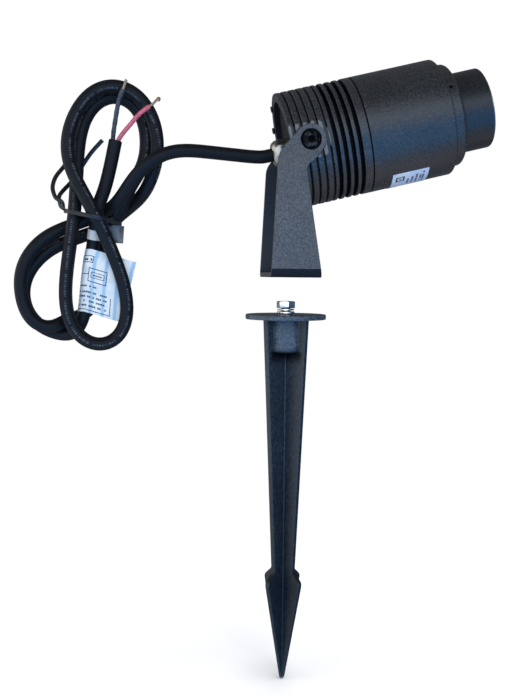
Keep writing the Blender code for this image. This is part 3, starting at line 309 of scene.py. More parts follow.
def cable_material():
    """Black rubber with a slight navy sheen. The attribute run holds (length along the cable, cos, sin) about the
    print line, where a row of generic pale ticks is stamped."""
    m, nt, b, co = start("black_cable_rubber")
    at = node(nt, "Attribute", {"attribute_name": "run"})
    sep = node(nt, "SeparateXYZ", None, Vector=at.outputs["Vector"])
    s, c, n = sep.outputs
    g = noise(nt, co, 1400.0, 3.0)
    base = mix(nt, ramp(nt, g, 0.3, 0.7), (0.0034, 0.0037, 0.0046), (0.0078, 0.0084, 0.0104))
    band = val(nt, "MULTIPLY", ramp(nt, val(nt, "ABSOLUTE", n), 0.21, 0.11), ramp(nt, c, 0.2, 0.5))
    cell = val(nt, "FRACT", val(nt, "DIVIDE", s, 1.45))
    tick = val(nt, "MULTIPLY", ramp(nt, cell, 0.12, 0.26), ramp(nt, cell, 0.88, 0.72))
    one = node(nt, "CombineXYZ", None, X=val(nt, "FLOOR", val(nt, "DIVIDE", s, 1.45)))
    pick = node(nt, "TexWhiteNoise", {"noise_dimensions": "3D"}, Vector=one.outputs[0]).outputs[0]
    word = node(nt, "CombineXYZ", None, X=val(nt, "FLOOR", val(nt, "DIVIDE", s, 15.95)), Y=3.0)
    part = val(nt, "MODULO", val(nt, "DIVIDE", s, 1.45), 11.0)
    gap = val(nt, "GREATER_THAN", val(nt, "ADD", 8.8, node(nt, "TexWhiteNoise", None, Vector=word.outputs[0]).outputs[0]), part)
    worn = noise(nt, node(nt, "CombineXYZ", None, X=val(nt, "MULTIPLY", s, 1.7), Y=val(nt, "MULTIPLY", n, 11.0)).outputs[0], 1.0, 2.0)
    ink = val(nt, "MULTIPLY", val(nt, "MULTIPLY", band, tick), val(nt, "MULTIPLY", gap, ramp(nt, worn, 0.36, 0.56)))
    ink = val(nt, "MULTIPLY", ink, val(nt, "MULTIPLY_ADD", pick, 0.75, 0.25))
    setin(nt, b, "Base Color", mix(nt, ink, base, (0.14, 0.155, 0.18)))
    r = node(nt, "MapRange", None, Value=g, From_Min=0.3, From_Max=0.7, To_Min=0.40, To_Max=0.55)
    setin(nt, b, "Roughness", r.outputs[0])
    setin(nt, b, "Specular IOR Level", 0.22)
    b.inputs["Sheen Weight"].default_value = 0.03
    b.inputs["Sheen Tint"].default_value = (0.4, 0.5, 0.8, 1)
    setin(nt, b, "Normal", bump(nt, g, 0.00005, 0.5))
    return m


CABLEM = cable_material()


def rect(nt, u, v, u0, v0, u1, v1, soft=0.0):
    """1 inside the rectangle."""
    a = val(nt, "LESS_THAN", val(nt, "ABSOLUTE", val(nt, "SUBTRACT", u, (u0 + u1) / 2)), (u1 - u0) / 2)
    b = val(nt, "LESS_THAN", val(nt, "ABSOLUTE", val(nt, "SUBTRACT", v, (v0 + v1) / 2)), (v1 - v0) / 2)
    return val(nt, "MULTIPLY", a, b)


def frame_box(nt, u, v, u0, v0, u1, v1, w):
    return val(nt, "SUBTRACT", rect(nt, u, v, u0, v0, u1, v1), rect(nt, u, v, u0 + w, v0 + w, u1 - w, v1 - w), clamp=True)


def bars(nt, u, v, u0, v0, u1, rows, pitch, height, seed, cell=0.9):
    """Rows of short plain bars where small print would be: no letter shapes."""
    row = val(nt, "FLOOR", val(nt, "DIVIDE", val(nt, "SUBTRACT", v, v0), pitch))
    inrow = val(nt, "LESS_THAN", val(nt, "MULTIPLY", val(nt, "FRACT", val(nt, "DIVIDE", val(nt, "SUBTRACT", v, v0), pitch)), pitch), height)
    col = val(nt, "FLOOR", val(nt, "DIVIDE", u, cell))
    p = node(nt, "CombineXYZ", None, X=col, Y=row, Z=float(seed))
    on = val(nt, "GREATER_THAN", node(nt, "TexWhiteNoise", None, Vector=p.outputs[0]).outputs[0], 0.2)
    notch = val(nt, "LESS_THAN", val(nt, "FRACT", val(nt, "DIVIDE", u, cell)), 0.82)
    area = rect(nt, u, v, u0, v0, u1, v0 + rows * pitch)
    return val(nt, "MULTIPLY", val(nt, "MULTIPLY", area, inrow), val(nt, "MULTIPLY", on, notch))


def label_material(name, kind):
    m, nt, b, co = start(name)
    at = node(nt, "Attribute", {"attribute_name": "sheet"})
    sep = node(nt, "SeparateXYZ", None, Vector=at.outputs["Vector"])
    u, v = sep.outputs[0], sep.outputs[1]
    g = noise(nt, co, 90.0, 2.0)
    if kind == "flag":
        pale = mix(nt, ramp(nt, g, 0.35, 0.65), (0.74, 0.83, 0.90), (0.93, 0.96, 0.98))
        # painted shade: periodic blue bands across the flag stand in for the shading of its curve round the strand
        band = val(nt, "ABSOLUTE", val(nt, "SINE", val(nt, "MULTIPLY", u, 0.42)))
        pale = mix(nt, ramp(nt, band, 0.80, 1.0), pale, (0.40, 0.62, 0.86))
        marks = [bars(nt, u, v, 1.0, 3.6, 21.0, 4, 2.7, 1.1, 1, 1.1), frame_box(nt, u, v, 8.2, 18.6, 19.8, 27.0, 0.5),
                 frame_box(nt, u, v, 9.8, 21.2, 18.2, 24.8, 0.4), frame_box(nt, u, v, 2.6, 30.0, 10.2, 34.2, 0.45),
                 bars(nt, u, v, 11.2, 22.5, 17.0, 1, 1.2, 0.8, 2, 1.4), rect(nt, u, v, 0.5, 22.9, 8.4, 23.35),
                 bars(nt, u, v, 3.8, 31.2, 9.4, 1, 2.0, 1.3, 3, 1.2), bars(nt, u, v, 1.0, 15.4, 14.0, 1, 2.0, 1.0, 4, 1.2),
                 rect(nt, u, v, 0.5, 1.4, 23.4, 1.85), rect(nt, u, v, 22.9, 1.4, 23.35, 12.0)]
        ink_colour = (0.02, 0.03, 0.06)
    else:
        pale = mix(nt, ramp(nt, g, 0.3, 0.7), (0.62, 0.74, 1.0), (0.78, 0.88, 1.0))
        # a plain square mark and five columns of bars, running round the barrel
        marks = [frame_box(nt, u, v, 2.2, 3.4, 7.6, 8.8, 1.0), rect(nt, u, v, 4.2, 5.4, 5.6, 6.8)]
        for k, (c, v0) in enumerate([(9.6, 7.4), (12.2, 5.2), (14.8, 3.4), (17.2, 5.2), (18.9, 2.0)]):
            marks.append(bars(nt, v, u, v0, c, 15.0, 1, 2.0, 1.15, 6 + k, 1.35))
        ink_colour = (0.012, 0.016, 0.05)
    total = marks[0]
    for k in marks[1:]:
        total = val(nt, "MAXIMUM", total, k)
    fade = val(nt, "MULTIPLY", total, ramp(nt, noise(nt, co, 800.0), 0.12, 0.4))
    setin(nt, b, "Base Color", mix(nt, fade, pale, ink_colour))
    setin(nt, b, "Roughness", 0.28)
    b.inputs["Coat Weight"].default_value = 0.25
    setin(nt, b, "Normal", bump(nt, g, 0.0003, 0.35))
    return m


FLAGM = label_material("cable_flag_print", "flag")
STICKM = label_material("rating_sticker_print", "sticker")


def smoky_material():
    m, nt, b, co = start("smoky_film")
    g = noise(nt, co, 260.0, 3.0)
    setin(nt, b, "Base Color", mix(nt, ramp(nt, g, 0.35, 0.65), (0.012, 0.02, 0.03), (0.11, 0.15, 0.20)))
    setin(nt, b, "Alpha", val(nt, "MULTIPLY_ADD", g, 0.3, 0.72))
    setin(nt, b, "Roughness", 0.16)
    setin(nt, b, "Normal", bump(nt, g, 0.0004, 0.5))
    return m


SMOKE = smoky_material()


def core_material(name, dark, light, sheen):
    m, nt, b, co = start(name)
    g = noise(nt, co, 700.0, 3.0)
    f = noise(nt, co, 2600.0, 2.0)
    setin(nt, b, "Base Color", mix(nt, ramp(nt, g, 0.3, 0.7), dark, light))
    setin(nt, b, "Roughness", val(nt, "MULTIPLY_ADD", f, 0.2, 0.3))
    b.inputs["Coat Weight"].default_value = sheen
    setin(nt, b, "Normal", bump(nt, f, 0.00006, 0.6))
    return m


REDM = core_material("red_core_insulation", (0.55, 0.085, 0.14), (0.78, 0.19, 0.27), 0.2)
BLKM = core_material("black_core_insulation", (0.020, 0.023, 0.030), (0.060, 0.068, 0.082), 0.25)


# =========================== mesh helpers ===========================
def build(name, verts, faces, mats, body, at=WORLD, face_mat=None, smooth=32.0, replaces=(), attrs=None, orient=True):
    """A mesh object from points in mm, smooth except at edges sharper than smooth degrees, riding on a CAD body."""
    R, T = at
    V = (np.array(verts, float) @ R.T + T) * MM
    me = bpy.data.meshes.new(name)
    me.from_pydata(V.tolist(), [], [list(map(int, f)) for f in faces])
    if orient:
        bm = bmesh.new()
        bm.from_mesh(me)
        bmesh.ops.recalc_face_normals(bm, faces=bm.faces)
        bm.to_mesh(me)
        bm.free()
    for m in mats if isinstance(mats, (list, tuple)) else [mats]:
        me.materials.append(m)
    if face_mat is not None:
        me.polygons.foreach_set("material_index", np.array(face_mat, np.int32))
    for k, a in (attrs or {}).items():
        t = me.attributes.new(k, "FLOAT_VECTOR", "POINT")
        t.data.foreach_set("vector", np.array(a, np.float32).ravel())
    o = bpy.data.objects.new(name, me)
    bpy.context.scene.collection.objects.link(o)
    shade(o, smooth)
    if body:
        settle(o, body, replaces)
    return o


def settle(o, body, replaces=()):
    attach(o, body)
    if replaces:
        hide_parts(*replaces)


def shade(o, angle):
    me = o.data
    me.polygons.foreach_set("use_smooth", np.ones(len(me.polygons), bool))
    me.set_sharp_from_angle(angle=math.radians(angle))
    me.update()


def fillet(poly, seg=4, closed=True):
    """Rounds the corners of an outline given as (x, y, radius)."""
    out = []
    n = len(poly)
    for i in range(n):
        x, z = poly[i][:2]
        r = poly[i][2] if len(poly[i]) > 2 else 0
        if r <= 0 or (not closed and i in (0, n - 1)):
            out.append((x, z))
            continue
        p = Vector((x, z))
        a0 = Vector(poly[i - 1][:2]) - p
        b0 = Vector(poly[(i + 1) % n][:2]) - p
        a, b = a0.normalized(), b0.normalized()
        half = a.angle(b) / 2
        if half > math.radians(88):
            out.append((x, z))
            continue
        t = min(r / math.tan(half), a0.length * 0.499, b0.length * 0.499)
        r = t * math.tan(half)
        c = p + (a + b).normalized() * (r / math.sin(half))
        s, e = p + a * t - c, p + b * t - c
        w0 = math.atan2(s.y, s.x)
        d = (math.atan2(e.y, e.x) - w0 + math.pi) % (2 * math.pi) - math.pi
        for k in range(seg + 1):
            w = w0 + d * k / seg
            out.append((c.x + r * math.cos(w), c.y + r * math.sin(w)))
    return out


def turned(prof, n, axis="X", centre=(0, 0), turn=0.0):
    """Vertices and faces of a closed turned body. Points at radius 0 become poles."""
    verts, idx, faces, tags = [], [], [], []
    def at(a, u, v):
        return (a, u, v) if axis == "X" else (u, a, v) if axis == "Y" else (u, v, a)
    for a, r in prof:
        if r <= 1e-6:
            idx.append([len(verts)] * n)
            verts.append(at(a, *centre))
        else:
            row = []
            for i in range(n):
                t = 2 * math.pi * i / n + turn
                row.append(len(verts))
                verts.append(at(a, centre[0] + r * math.cos(t), centre[1] + r * math.sin(t)))
            idx.append(row)
    closed = prof[0][1] > 1e-6 and prof[-1][1] > 1e-6
    for k in range(len(prof) if closed else len(prof) - 1):
        p, q = idx[k], idx[(k + 1) % len(prof)]
        if p[0] == p[-1] and q[0] == q[-1]:
            continue
        for i in range(n):
            j = (i + 1) % n
            f = []
            for x in (p[i], p[j], q[j], q[i]):
                if x not in f:
                    f.append(x)
            faces.append(f)
            tags.append(k)
    return verts, faces, tags


def lathe(name, prof, n, mats, body, replaces=(), at=HEAD, axis="X", centre=(0, 0), turn=0.0, pick=None, smooth=32.0, seg=4):
    p = fillet(prof, seg)
    v, f, t = turned(p, n, axis, centre, turn)
    fm = None
    if pick:
        fm = [pick(p[k], p[(k + 1) % len(p)]) for k in t]
    return build(name, v, f, mats, body, at, fm, smooth, replaces)


def cutter(name, v, f, mat=None, at=HEAD):
    o = build(name, v, f, [mat] if mat else [], None, at, smooth=30)
    return o


def prism(poly, d0, d1, axis="Y"):
    n = len(poly)
    def at(p, d):
        return (p[0], d, p[1]) if axis == "Y" else (p[0], p[1], d) if axis == "Z" else (d, p[0], p[1])
    v = [at(p, d0) for p in poly] + [at(p, d1) for p in poly]
    f = [list(range(n)), list(range(2 * n - 1, n - 1, -1))] + [[i, (i + 1) % n, n + (i + 1) % n, n + i] for i in range(n)]
    return v, f


def combine(o, cutters, op="DIFFERENCE", smooth=32.0, bevel=0.0, bevel_angle=35.0, bevel_seg=2):
    """Applies exact Booleans, and an optional bevel, to the mesh, and removes the cutters."""
    for c in cutters:
        m = o.modifiers.new("b", "BOOLEAN")
        m.operation, m.object, m.solver = op, c, "EXACT"
        m.material_mode = "TRANSFER"
    if bevel:
        m = o.modifiers.new("r", "BEVEL")
        m.width, m.segments, m.limit_method, m.angle_limit = bevel * MM, bevel_seg, "ANGLE", math.radians(bevel_angle)
        m.use_clamp_overlap = True
        m.miter_outer = "MITER_ARC"
    bpy.context.view_layer.update()
    dg = bpy.context.evaluated_depsgraph_get()
    me = bpy.data.meshes.new_from_object(o.evaluated_get(dg))
    o.modifiers.clear()
    old = o.data
    o.data = me
    bpy.data.meshes.remove(old)
    for c in cutters:
        d = c.data
        bpy.data.objects.remove(c)
        bpy.data.meshes.remove(d)
    bm = bmesh.new()
    bm.from_mesh(me)
    bmesh.ops.remove_doubles(bm, verts=bm.verts, dist=2e-7)
    bmesh.ops.dissolve_degenerate(bm, edges=bm.edges, dist=1e-7)
    bm.to_mesh(me)
    bm.free()
    shade(o, smooth)
    return o


def hexagon(af, turn=0.0):
    r = af / math.sqrt(3)
    return [(r * math.cos(math.radians(60 * i) + turn), r * math.sin(math.radians(60 * i) + turn)) for i in range(6)]


def head_dir(w):
    """Direction in the head's cross-section, w degrees above the near side."""
    return np.array([0.0, -math.cos(math.radians(w)), math.sin(math.radians(w))])


# =========================== head ===========================
FINE = [-7.0, -2.5, 2.05, 6.6, 11.1]
DEEP = [14.9, 19.45, 24.0, 28.5]
prof = [(12.0, 0), (12.0, 24.5), (-3.2, 24.5), (-3.2, 30.0), (REAR_A, 30.0, 0.4), (REAR_A, BODY_R, 0.55)]
for g in FINE:
    prof += [(g - 0.42, BODY_R, 0.75), (g - 0.42, BODY_R - 1.2, 0.15), (g + 0.42, BODY_R - 1.2, 0.15), (g + 0.42, BODY_R, 0.75)]
for g in DEEP:
    prof += [(g - 1.15, BODY_R, 0.5), (g - 1.15, BODY_R - 4.5, 0.4), (g + 1.15, BODY_R - 4.5, 0.4), (g + 1.15, BODY_R, 0.5)]
prof += [(34.7, BODY_R, 0.3), (34.7, 31.2), (33.0, 31.2), (33.0, 28.6), (34.7, 28.6), (34.7, 26.8), (20.0, 26.8), (20.0, 0)]


def rear_pick(p, q):
    r, a = (p[1] + q[1]) / 2, (p[0] + q[0]) / 2
    # painted shade: the recess walls take the darker recess material
    if r < 30.2 and a > REAR_A + 0.6 and a < 0:
        return 2
    if a > REAR_A + 1 and r < 34.25 or a > 34.3 and r < 34.985:
        return 1
    return 0


rear = lathe("rear_housing_shell", prof, SEG, [COAT, GROOVE, RECESS_SHADE, FLAT_PAINTED_LIGHT], None, pick=rear_pick, seg=3)
flat_poly = [(-14.0, -FLAT_R), (0.0, -FLAT_R)] + [
    (FLAT_R * math.cos(math.radians(w)), FLAT_R * math.sin(math.radians(w))) for w in range(-87, 90, 3)] + [(0.0, FLAT_R), (-14.0, FLAT_R)]
cuts = []
for s in (-1, 1):
    v, f = prism(flat_poly, s * FLAT_Y, s * 38.0)
    cuts.append(cutter("c_flat", v, f, FLAT_PAINTED_LIGHT))
    v, f, t = turned([(s * 26.2, 0), (s * 26.2, 2.7), (s * 39.0, 2.7), (s * 39.0, 0)], 32, "Y")
    cuts.append(cutter("c_thread", v, f, GROOVE))
combine(rear, cuts)
settle(rear, "head", ["rear_housing"])

lathe("front_housing_shell", [
    (30.2, 24.9), (30.2, 26.5), (35.1, 26.5), (35.1, BODY_R, 0.3), (FRONT_A, BODY_R, 1.1), (FRONT_A, 30.4, 0.3), (78.0, 30.4), (78.0, 31.6),
    (38.2, 31.6), (38.2, 24.9)], SEG, [COAT, GROOVE], "head", ["front_housing"],
    pick=lambda p, q: 1 if max(p[0], q[0]) < 35.45 and (p[1] + q[1]) / 2 < 34.985 and min(p[1], q[1]) > 31.0 or max(p[0], q[0]) < 35.12 else 0, seg=5)
bez = lathe("bezel_ring_shell", [
    (78.3, TUBE_R + 0.3), (78.3, 30.1), (86.5, 30.1), (86.5, BEZEL_R, 0.25), (BEZEL_A, BEZEL_R, 2.6), (BEZEL_A, TUBE_R + 0.3, 0.35)], SEG, COAT, None, seg=9)
d = head_dir(24.5)
v, f, t = turned([(24.0, 0), (24.0, 1.35), (33.0, 1.35), (33.0, 0)], 32, "X")
basis = np.stack([d, np.cross(d, (1, 0, 0)), (1, 0, 0)], 0)
LOCK_AT = np.array([89.0, 0, 0])
v = np.array(v) @ basis + LOCK_AT
combine(bez, [cutter("c_lock", v, f, GROOVE)])
settle(bez, "head", ["bezel_ring"])
v, f, t = turned(fillet([(25.2, 0), (25.2, 1.05), (30.65, 1.05, 0.25), (30.65, 0)], 3), 32, "X")
lock = build("focus_lock_screw_body", np.array(v) @ basis + LOCK_AT, f, [BLACKOX], None, HEAD)
v, f = prism(hexagon(1.1), 29.6, 32.0, "X")
combine(lock, [cutter("c_key", np.array(v) @ basis + LOCK_AT, f, SOCKET_SHADE)])
settle(lock, "head", ["focus_lock_screw"])

lathe("lens_tube_shell", [
    (TUBE_A0, 21.6), (TUBE_A0, TUBE_R, 0.4), (TUBE_A1, TUBE_R, 1.1), (TUBE_A1, 22.6, 0.3), (104.5, 22.6), (104.5, 21.6)],
    SEG, [TUBEM, BRIGHT], "lens_group", ["lens_tube"],
    pick=lambda p, q: 1 if (p[0] + q[0]) / 2 > TUBE_A1 - 0.62 and (p[1] + q[1]) / 2 > 22.6 else 0, seg=9)


def cap(a_edge, a_top, r, n=10):
    """Outline of a convex lens face from the edge to the pole."""
    return [(a_edge + (a_top - a_edge) * math.cos(math.pi / 2 * k / n), r * math.sin(math.pi / 2 * k / n)) for k in range(n, -1, -1)]


def lens(name, flat_a, edge_a, top_a, r, node_name, body):
    rad = ((top_a - edge_a) ** 2 + r * r) / (2 * abs(top_a - edge_a))
    s = 1 if top_a > edge_a else -1
    face = []
    for k in range(11):
        y = r * (1 - k / 10)
        face.append((top_a - s * (rad - math.sqrt(max(rad * rad - y * y, 0))), y))
    lathe(name, [(flat_a, 0), (flat_a, r, 0.2)] + face, SEG // 2, GLASS, body, [node_name], smooth=40)


lens("front_lens_glass", 104.8, 107.4, 110.8, 22.3, "front_lens", "lens_group")
lens("rear_lens_glass", 70.0, 72.0, 75.7, 21.3, "rear_lens", "lens_group")
lathe("front_retaining_ring_body", [(108.3, 20.9, 0.2), (108.3, 22.3), (109.9, 22.3, 0.3), (109.9, 20.9, 0.3)], SEG // 2, COAT, "lens_group",
      ["front_retaining_ring"])
lathe("rear_retaining_ring_body", [(67.2, 18.5, 0.3), (67.2, 21.3, 0.2), (69.7, 21.3), (69.7, 18.5, 0.3)], SEG // 2, ALU, "lens_group",
      ["rear_retaining_ring"])

# rear cover, its screws, the two bumps on the rim
COVER_ANG, COVER_SCREW_R = [90, 210, 330], 27.6
# the rear cover takes the darker recess material: painted shade
cover = lathe("rear_cover_plate", [(-6.9, 6.0, 0.3), (-6.9, 29.7, 0.7), (-4.6, 29.7), (-4.6, 6.0)], SEG // 2, [RECESS_SHADE, GROOVE], None, turn=0.07)
cuts = []
for w in COVER_ANG:
    c = (COVER_SCREW_R * math.cos(math.radians(w)), COVER_SCREW_R * math.sin(math.radians(w)))
    v, f, t = turned([(-8.0, 0), (-8.0, 1.4), (-4.0, 1.4), (-4.0, 0)], 24, "X", c)
    cuts.append(cutter("c_cover", v, f, GROOVE))
combine(cover, cuts)
settle(cover, "head", ["rear_cover"])


def cross_cut(a0, a1, c, size, width):
    out = []
    for k in (0, 1):
        u, w = (size, width) if k else (width, size)
        v, f = prism([(c[0] - u, c[1] - w), (c[0] + u, c[1] - w), (c[0] + u, c[1] + w), (c[0] - u, c[1] + w)], a0, a1, "X")
        out.append(cutter("c_cross", v, f, SOCKET_SHADE))
    return out


for k, w in enumerate(COVER_ANG):
    c = (COVER_SCREW_R * math.cos(math.radians(w)), COVER_SCREW_R * math.sin(math.radians(w)))
    o = lathe("rear_cover_screw_head_%d" % (k + 1), [(-8.6, 0), (-8.6, 1.8, 0.6), (-7.2, 1.8, 0.1), (-7.2, 1.1), (1.5, 1.1), (1.5, 0)], 40,
              [BLACKOX, SOCKET_SHADE], None, centre=c)
    combine(o, cross_cut(-9.5, -7.9, c, 1.05, 0.25))
    settle(o, "head", ["rear_cover_screw_%d" % (k + 1)])
for k, w in enumerate([62.0, 32.0]):
    c = (32.5 * math.cos(math.radians(w)), 32.5 * math.sin(math.radians(w)))
    top = (-11.6, -12.0)[k]
    o = lathe("rear_rim_screw_head_%d" % (k + 1), [(top, 0), (top, 2.0, 0.7), (-10.86, 2.0, 0.1), (-10.86, 0.8), (-8.2, 0.8), (-8.2, 0)], 40,
              [BLACKOX, SOCKET_SHADE], None, centre=c)
    combine(o, cross_cut(top - 1, top + 0.7, c, 1.1, 0.28))
    settle(o, "head", ["rear_rim_screw_%d" % (k + 1)])

# cable gland
o = lathe("gland_body_part", [(-16.0, 4.6), (-16.0, 5.4), (-10.9, 5.4), (-10.9, 8.25, 0.35), (-7.2, 8.25, 0.35), (-7.2, 5.7), (-1.9, 5.7), (-1.9, 4.6)],
          SEG // 2, NICKEL, None)
v, f = prism(hexagon(14.0, math.radians(30)), -18.0, 0.0, "X")
combine(o, [cutter("c_hex", v, f, NICKEL)], "INTERSECT", bevel=0.12, bevel_angle=40)
settle(o, "head", ["gland_body"])
o = lathe("gland_nut_part", [(-18.8, 4.5, 0.2), (-18.8, 5.9, 0.5), (-18.1, 6.8, 0.5), (-16.8, 7.7, 0.6), (-14.9, 8.3, 0.5), (-11.2, 8.3, 0.4), (-11.2, 5.8),
                             (-16.4, 5.8), (-17.8, 5.3), (-17.8, 4.5)], SEG // 2, NICKEL, None)
v, f = prism(hexagon(14.4, math.radians(30)), -30.0, 0.0, "X")
combine(o, [cutter("c_hex", v, f, NICKEL)], "INTERSECT", bevel=0.12, bevel_angle=40)
settle(o, "head", ["gland_nut"])
lathe("gland_seal_ring", [(-18.5, 4.05), (-18.5, 4.45, 0.1), (-16.4, 4.45), (-16.4, 4.05)], 48, SEALM, "head", ["gland_seal"])

# rating sticker: generic bars on a thin curved film
rows, cols = 28, 2
sv, sf, sa = [], [], []
for layer in (0, 1):
    r = BODY_R + 0.06 + 0.16 * layer
    for i in range(rows + 1):
        w = math.radians(-56.0 - 42.0 * i / rows)
        for j in range(cols + 1):
            a = 46.5 + 22.5 * j / cols
            sv.append((a, -r * math.cos(w), r * math.sin(w)))
            sa.append((22.5 * j / cols, BODY_R * math.radians(42.0) * i / rows, 0))
half = (rows + 1) * (cols + 1)
for i in range(rows):
    for j in range(cols):
        q = [i * (cols + 1) + j, i * (cols + 1) + j + 1, (i + 1) * (cols + 1) + j + 1, (i + 1) * (cols + 1) + j]
        sf += [q, [x + half for x in q[::-1]]]
edge = [j for j in range(cols + 1)] + [(i + 1) * (cols + 1) - 1 for i in range(1, rows + 1)] + [
    rows * (cols + 1) + j for j in range(cols - 1, -1, -1)] + [i * (cols + 1) for i in range(rows - 1, 0, -1)]
for k in range(len(edge)):
    a, b = edge[k], edge[(k + 1) % len(edge)]
    sf.append([a, b, b + half, a + half])
build("rating_sticker_film", sv, sf, STICKM, "head", HEAD, attrs={"sheet": sa}, replaces=["rating_sticker"])

# pivot screws and washers
for s, side in ((-1, "left"), (1, "right")):
    o = lathe("pivot_screw_%s_body" % side, [(s * 27.0, 0), (s * 27.0, 2.4), (s * 38.9, 2.4), (s * 38.9, 4.7, 0.3), (s * 40.0, 4.7, 0.6), (s * 41.15, 3.7, 0.6),
                                             (s * 41.5, 2.3, 0.2), (s * 41.5, 0)], 64, [PIVOT_SCREW_PAINTED_GLINTS, SOCKET_SHADE], None, axis="Y", seg=5)
    v, f = prism(hexagon(3.7, 0.3), s * 39.2, s * 43.0, "Y")
    cuts = [cutter("c_socket", v, f, SOCKET_SHADE)]
    combine(o, cuts, bevel=0.1, bevel_angle=40)
    settle(o, "head", ["pivot_screw_" + side])
    lathe("pivot_washer_%s_ring" % side, [(s * (FLAT_Y + 0.3), 2.8), (s * (FLAT_Y + 0.3), 7.6, 0.2), (s * (ARM_OUT - SHEET - 0.3), 7.6, 0.2),
                                          (s * (ARM_OUT - SHEET - 0.3), 2.8)], 64, WASHM, "head", ["pivot_washer_" + side], axis="Y")

# =========================== bracket ===========================
END_R = 8.75
arm = [(END_R * math.cos(math.radians(w)), END_R * math.sin(math.radians(w)), 0) for w in np.linspace(-20, 138.7, 40)]
corners = [(-18.47, -7.6, 13.0), (-22.1, BASE_Z - PIVOT[2] - 2.0, 0), (7.8, BASE_Z - PIVOT[2] - 2.0, 0), (-2.5, -15.3, 4.8), (4.9, -8.8, 7.0)]
outline = [(x + PIVOT[0], z + PIVOT[2]) for x, z in fillet(arm + corners, 10)]


def arc(cy, cz, r, w0, w1, seg=14):
    return [(cy + r * math.cos(math.radians(w0 + (w1 - w0) * k / seg)), cz + r * math.sin(math.radians(w0 + (w1 - w0) * k / seg)))
            for k in range(seg + 1)]


ai = ARM_OUT - SHEET
u_prof = [(-ARM_OUT, 345.0)] + arc(-ARM_OUT + BEND_OUT, BASE_Z + BEND_OUT, BEND_OUT, 180, 270) \
    + arc(ARM_OUT - BEND_OUT, BASE_Z + BEND_OUT, BEND_OUT, 270, 360) + [(ARM_OUT, 345.0), (ai, 345.0)] \
    + arc(ARM_OUT - BEND_OUT, BASE_Z + BEND_OUT, BEND_OUT - SHEET, 360, 270) \
    + arc(-ARM_OUT + BEND_OUT, BASE_Z + BEND_OUT, BEND_OUT - SHEET, 270, 180) + [(-ai, 345.0)]
v, f = prism(u_prof, -40.0, 40.0, "X")
brk = build("bracket_sheet", v, f, STEELB, None)
v, f = prism(outline, -60.0, 60.0, "Y")
combine(brk, [cutter("c_outline", v, f, STEELB, WORLD)], "INTERSECT")
cuts = []
v, f, t = turned([(245.0, 0), (245.0, 3.4), (262.0, 3.4), (262.0, 0)], 40, "Z")
cuts.append(cutter("c_base", v, f, STEELB, WORLD))
for s in (-1, 1):
    v, f, t = turned([(s * 30.0, 0), (s * 30.0, 2.8), (s * (ARM_OUT - 1.8), 2.8), (s * (ARM_OUT - 1.8), 5.9), (s * 45.0, 5.9), (s * 45.0, 0)], 72, "Y",
                     (PIVOT[0], PIVOT[2]))
    cuts.append(cutter("c_arm", v, f, GROOVE, WORLD))
combine(brk, cuts, bevel=0.4, bevel_angle=38, bevel_seg=3)
# painted shade: the inner faces and the faces turned down round the bends take darker copies of the coat
brk.data.materials.append(STEELB_SHADE_INNER)
brk.data.materials.append(STEELB_SHADE_BEND)
bend_slot = len(brk.data.materials) - 1
for p in brk.data.polygons:
    c, nn = p.center / MM, p.normal
    inside = abs(c.y) < ai + 0.05 and (abs(nn.y) > 0.5 and nn.y * c.y < 0 or nn.z > 0.5 and c.z < BASE_Z + SHEET + 0.2)
    bend = c.z < BASE_Z + 8.0 and nn.z < -0.02
    if inside or bend:
        p.material_index = bend_slot - 1 if inside else bend_slot
settle(brk, "bracket", ["bracket"])

# =========================== stake ===========================
RF, TIP = 0.8, 0.55


def section(reach, t):
    """Outline of the cross-shaped section, with filleted valleys and rounded rib edges."""
    rf = max(0.05, min(RF, (reach - t / 2 - TIP) * 0.7))
    tr = min(TIP, t * 0.4, reach * 0.3)
    pts = []
    for k in range(4):
        w = math.radians(RIB_TURN + 90 * k)
        e, nrm = np.array([math.cos(w), math.sin(w)]), np.array([-math.sin(w), math.cos(w)])
        loc = []
        for q in range(4):
            p = math.pi / 2 * q / 3 - math.pi / 2
            loc.append((reach - tr + tr * math.cos(p), -t / 2 + tr + tr * math.sin(p)))
        for q in range(4):
            p = math.pi / 2 * q / 3
            loc.append((reach - tr + tr * math.cos(p), t / 2 - tr + tr * math.sin(p)))
        for q in range(6):
            p = math.radians(270 - 90 * q / 5)
            loc.append((t / 2 + rf + rf * math.cos(p), t / 2 + rf + rf * math.sin(p)))
        pts += [tuple(e * a + nrm * b) for a, b in loc]
    return pts


LEVELS = [(0.0, 0.9, 1.3), (0.25, 1.25, 1.75), (0.9, 1.6, 2.0)]
LEVELS += [(z, 1.5 + (14.7 - 1.5) * z / 62.0, 2.0 + z / 62.0) for z in np.linspace(3.0, 60.5, 22)]
LEVELS += [(61.6, 14.55, 3.0), (62.3, 14.68, 3.0), (63.2, 14.7, 3.0), (64.0, 14.55, 3.0), (64.6, 14.15, 3.0), (65.4, 13.5, 3.0), (66.8, 11.9, 3.0),
           (68.2, 10.35, 3.0), (69.0, 9.5, 3.0), (69.8, 9.05, 3.0), (70.8, 8.93, 3.0)]
LEVELS += [(z, 8.95 + (18.05 - 8.95) * (z - 69.6) / (228.3 - 69.6), 3.0) for z in np.linspace(73.0, 228.3, 34)]
v, f = [], []
for z, reach, t in LEVELS:
    v += [(x, y, z) for x, y in section(reach, t)]
per = len(section(10, 3))
for i in range(len(LEVELS) - 1):
    for k in range(per):
        j = (k + 1) % per
        f.append([i * per + k, i * per + j, (i + 1) * per + j, (i + 1) * per + k])
f += [list(range(per))[::-1], [(len(LEVELS) - 1) * per + k for k in range(per)]]
stk = build("stake_moulding", v, f, STAKEM, None)
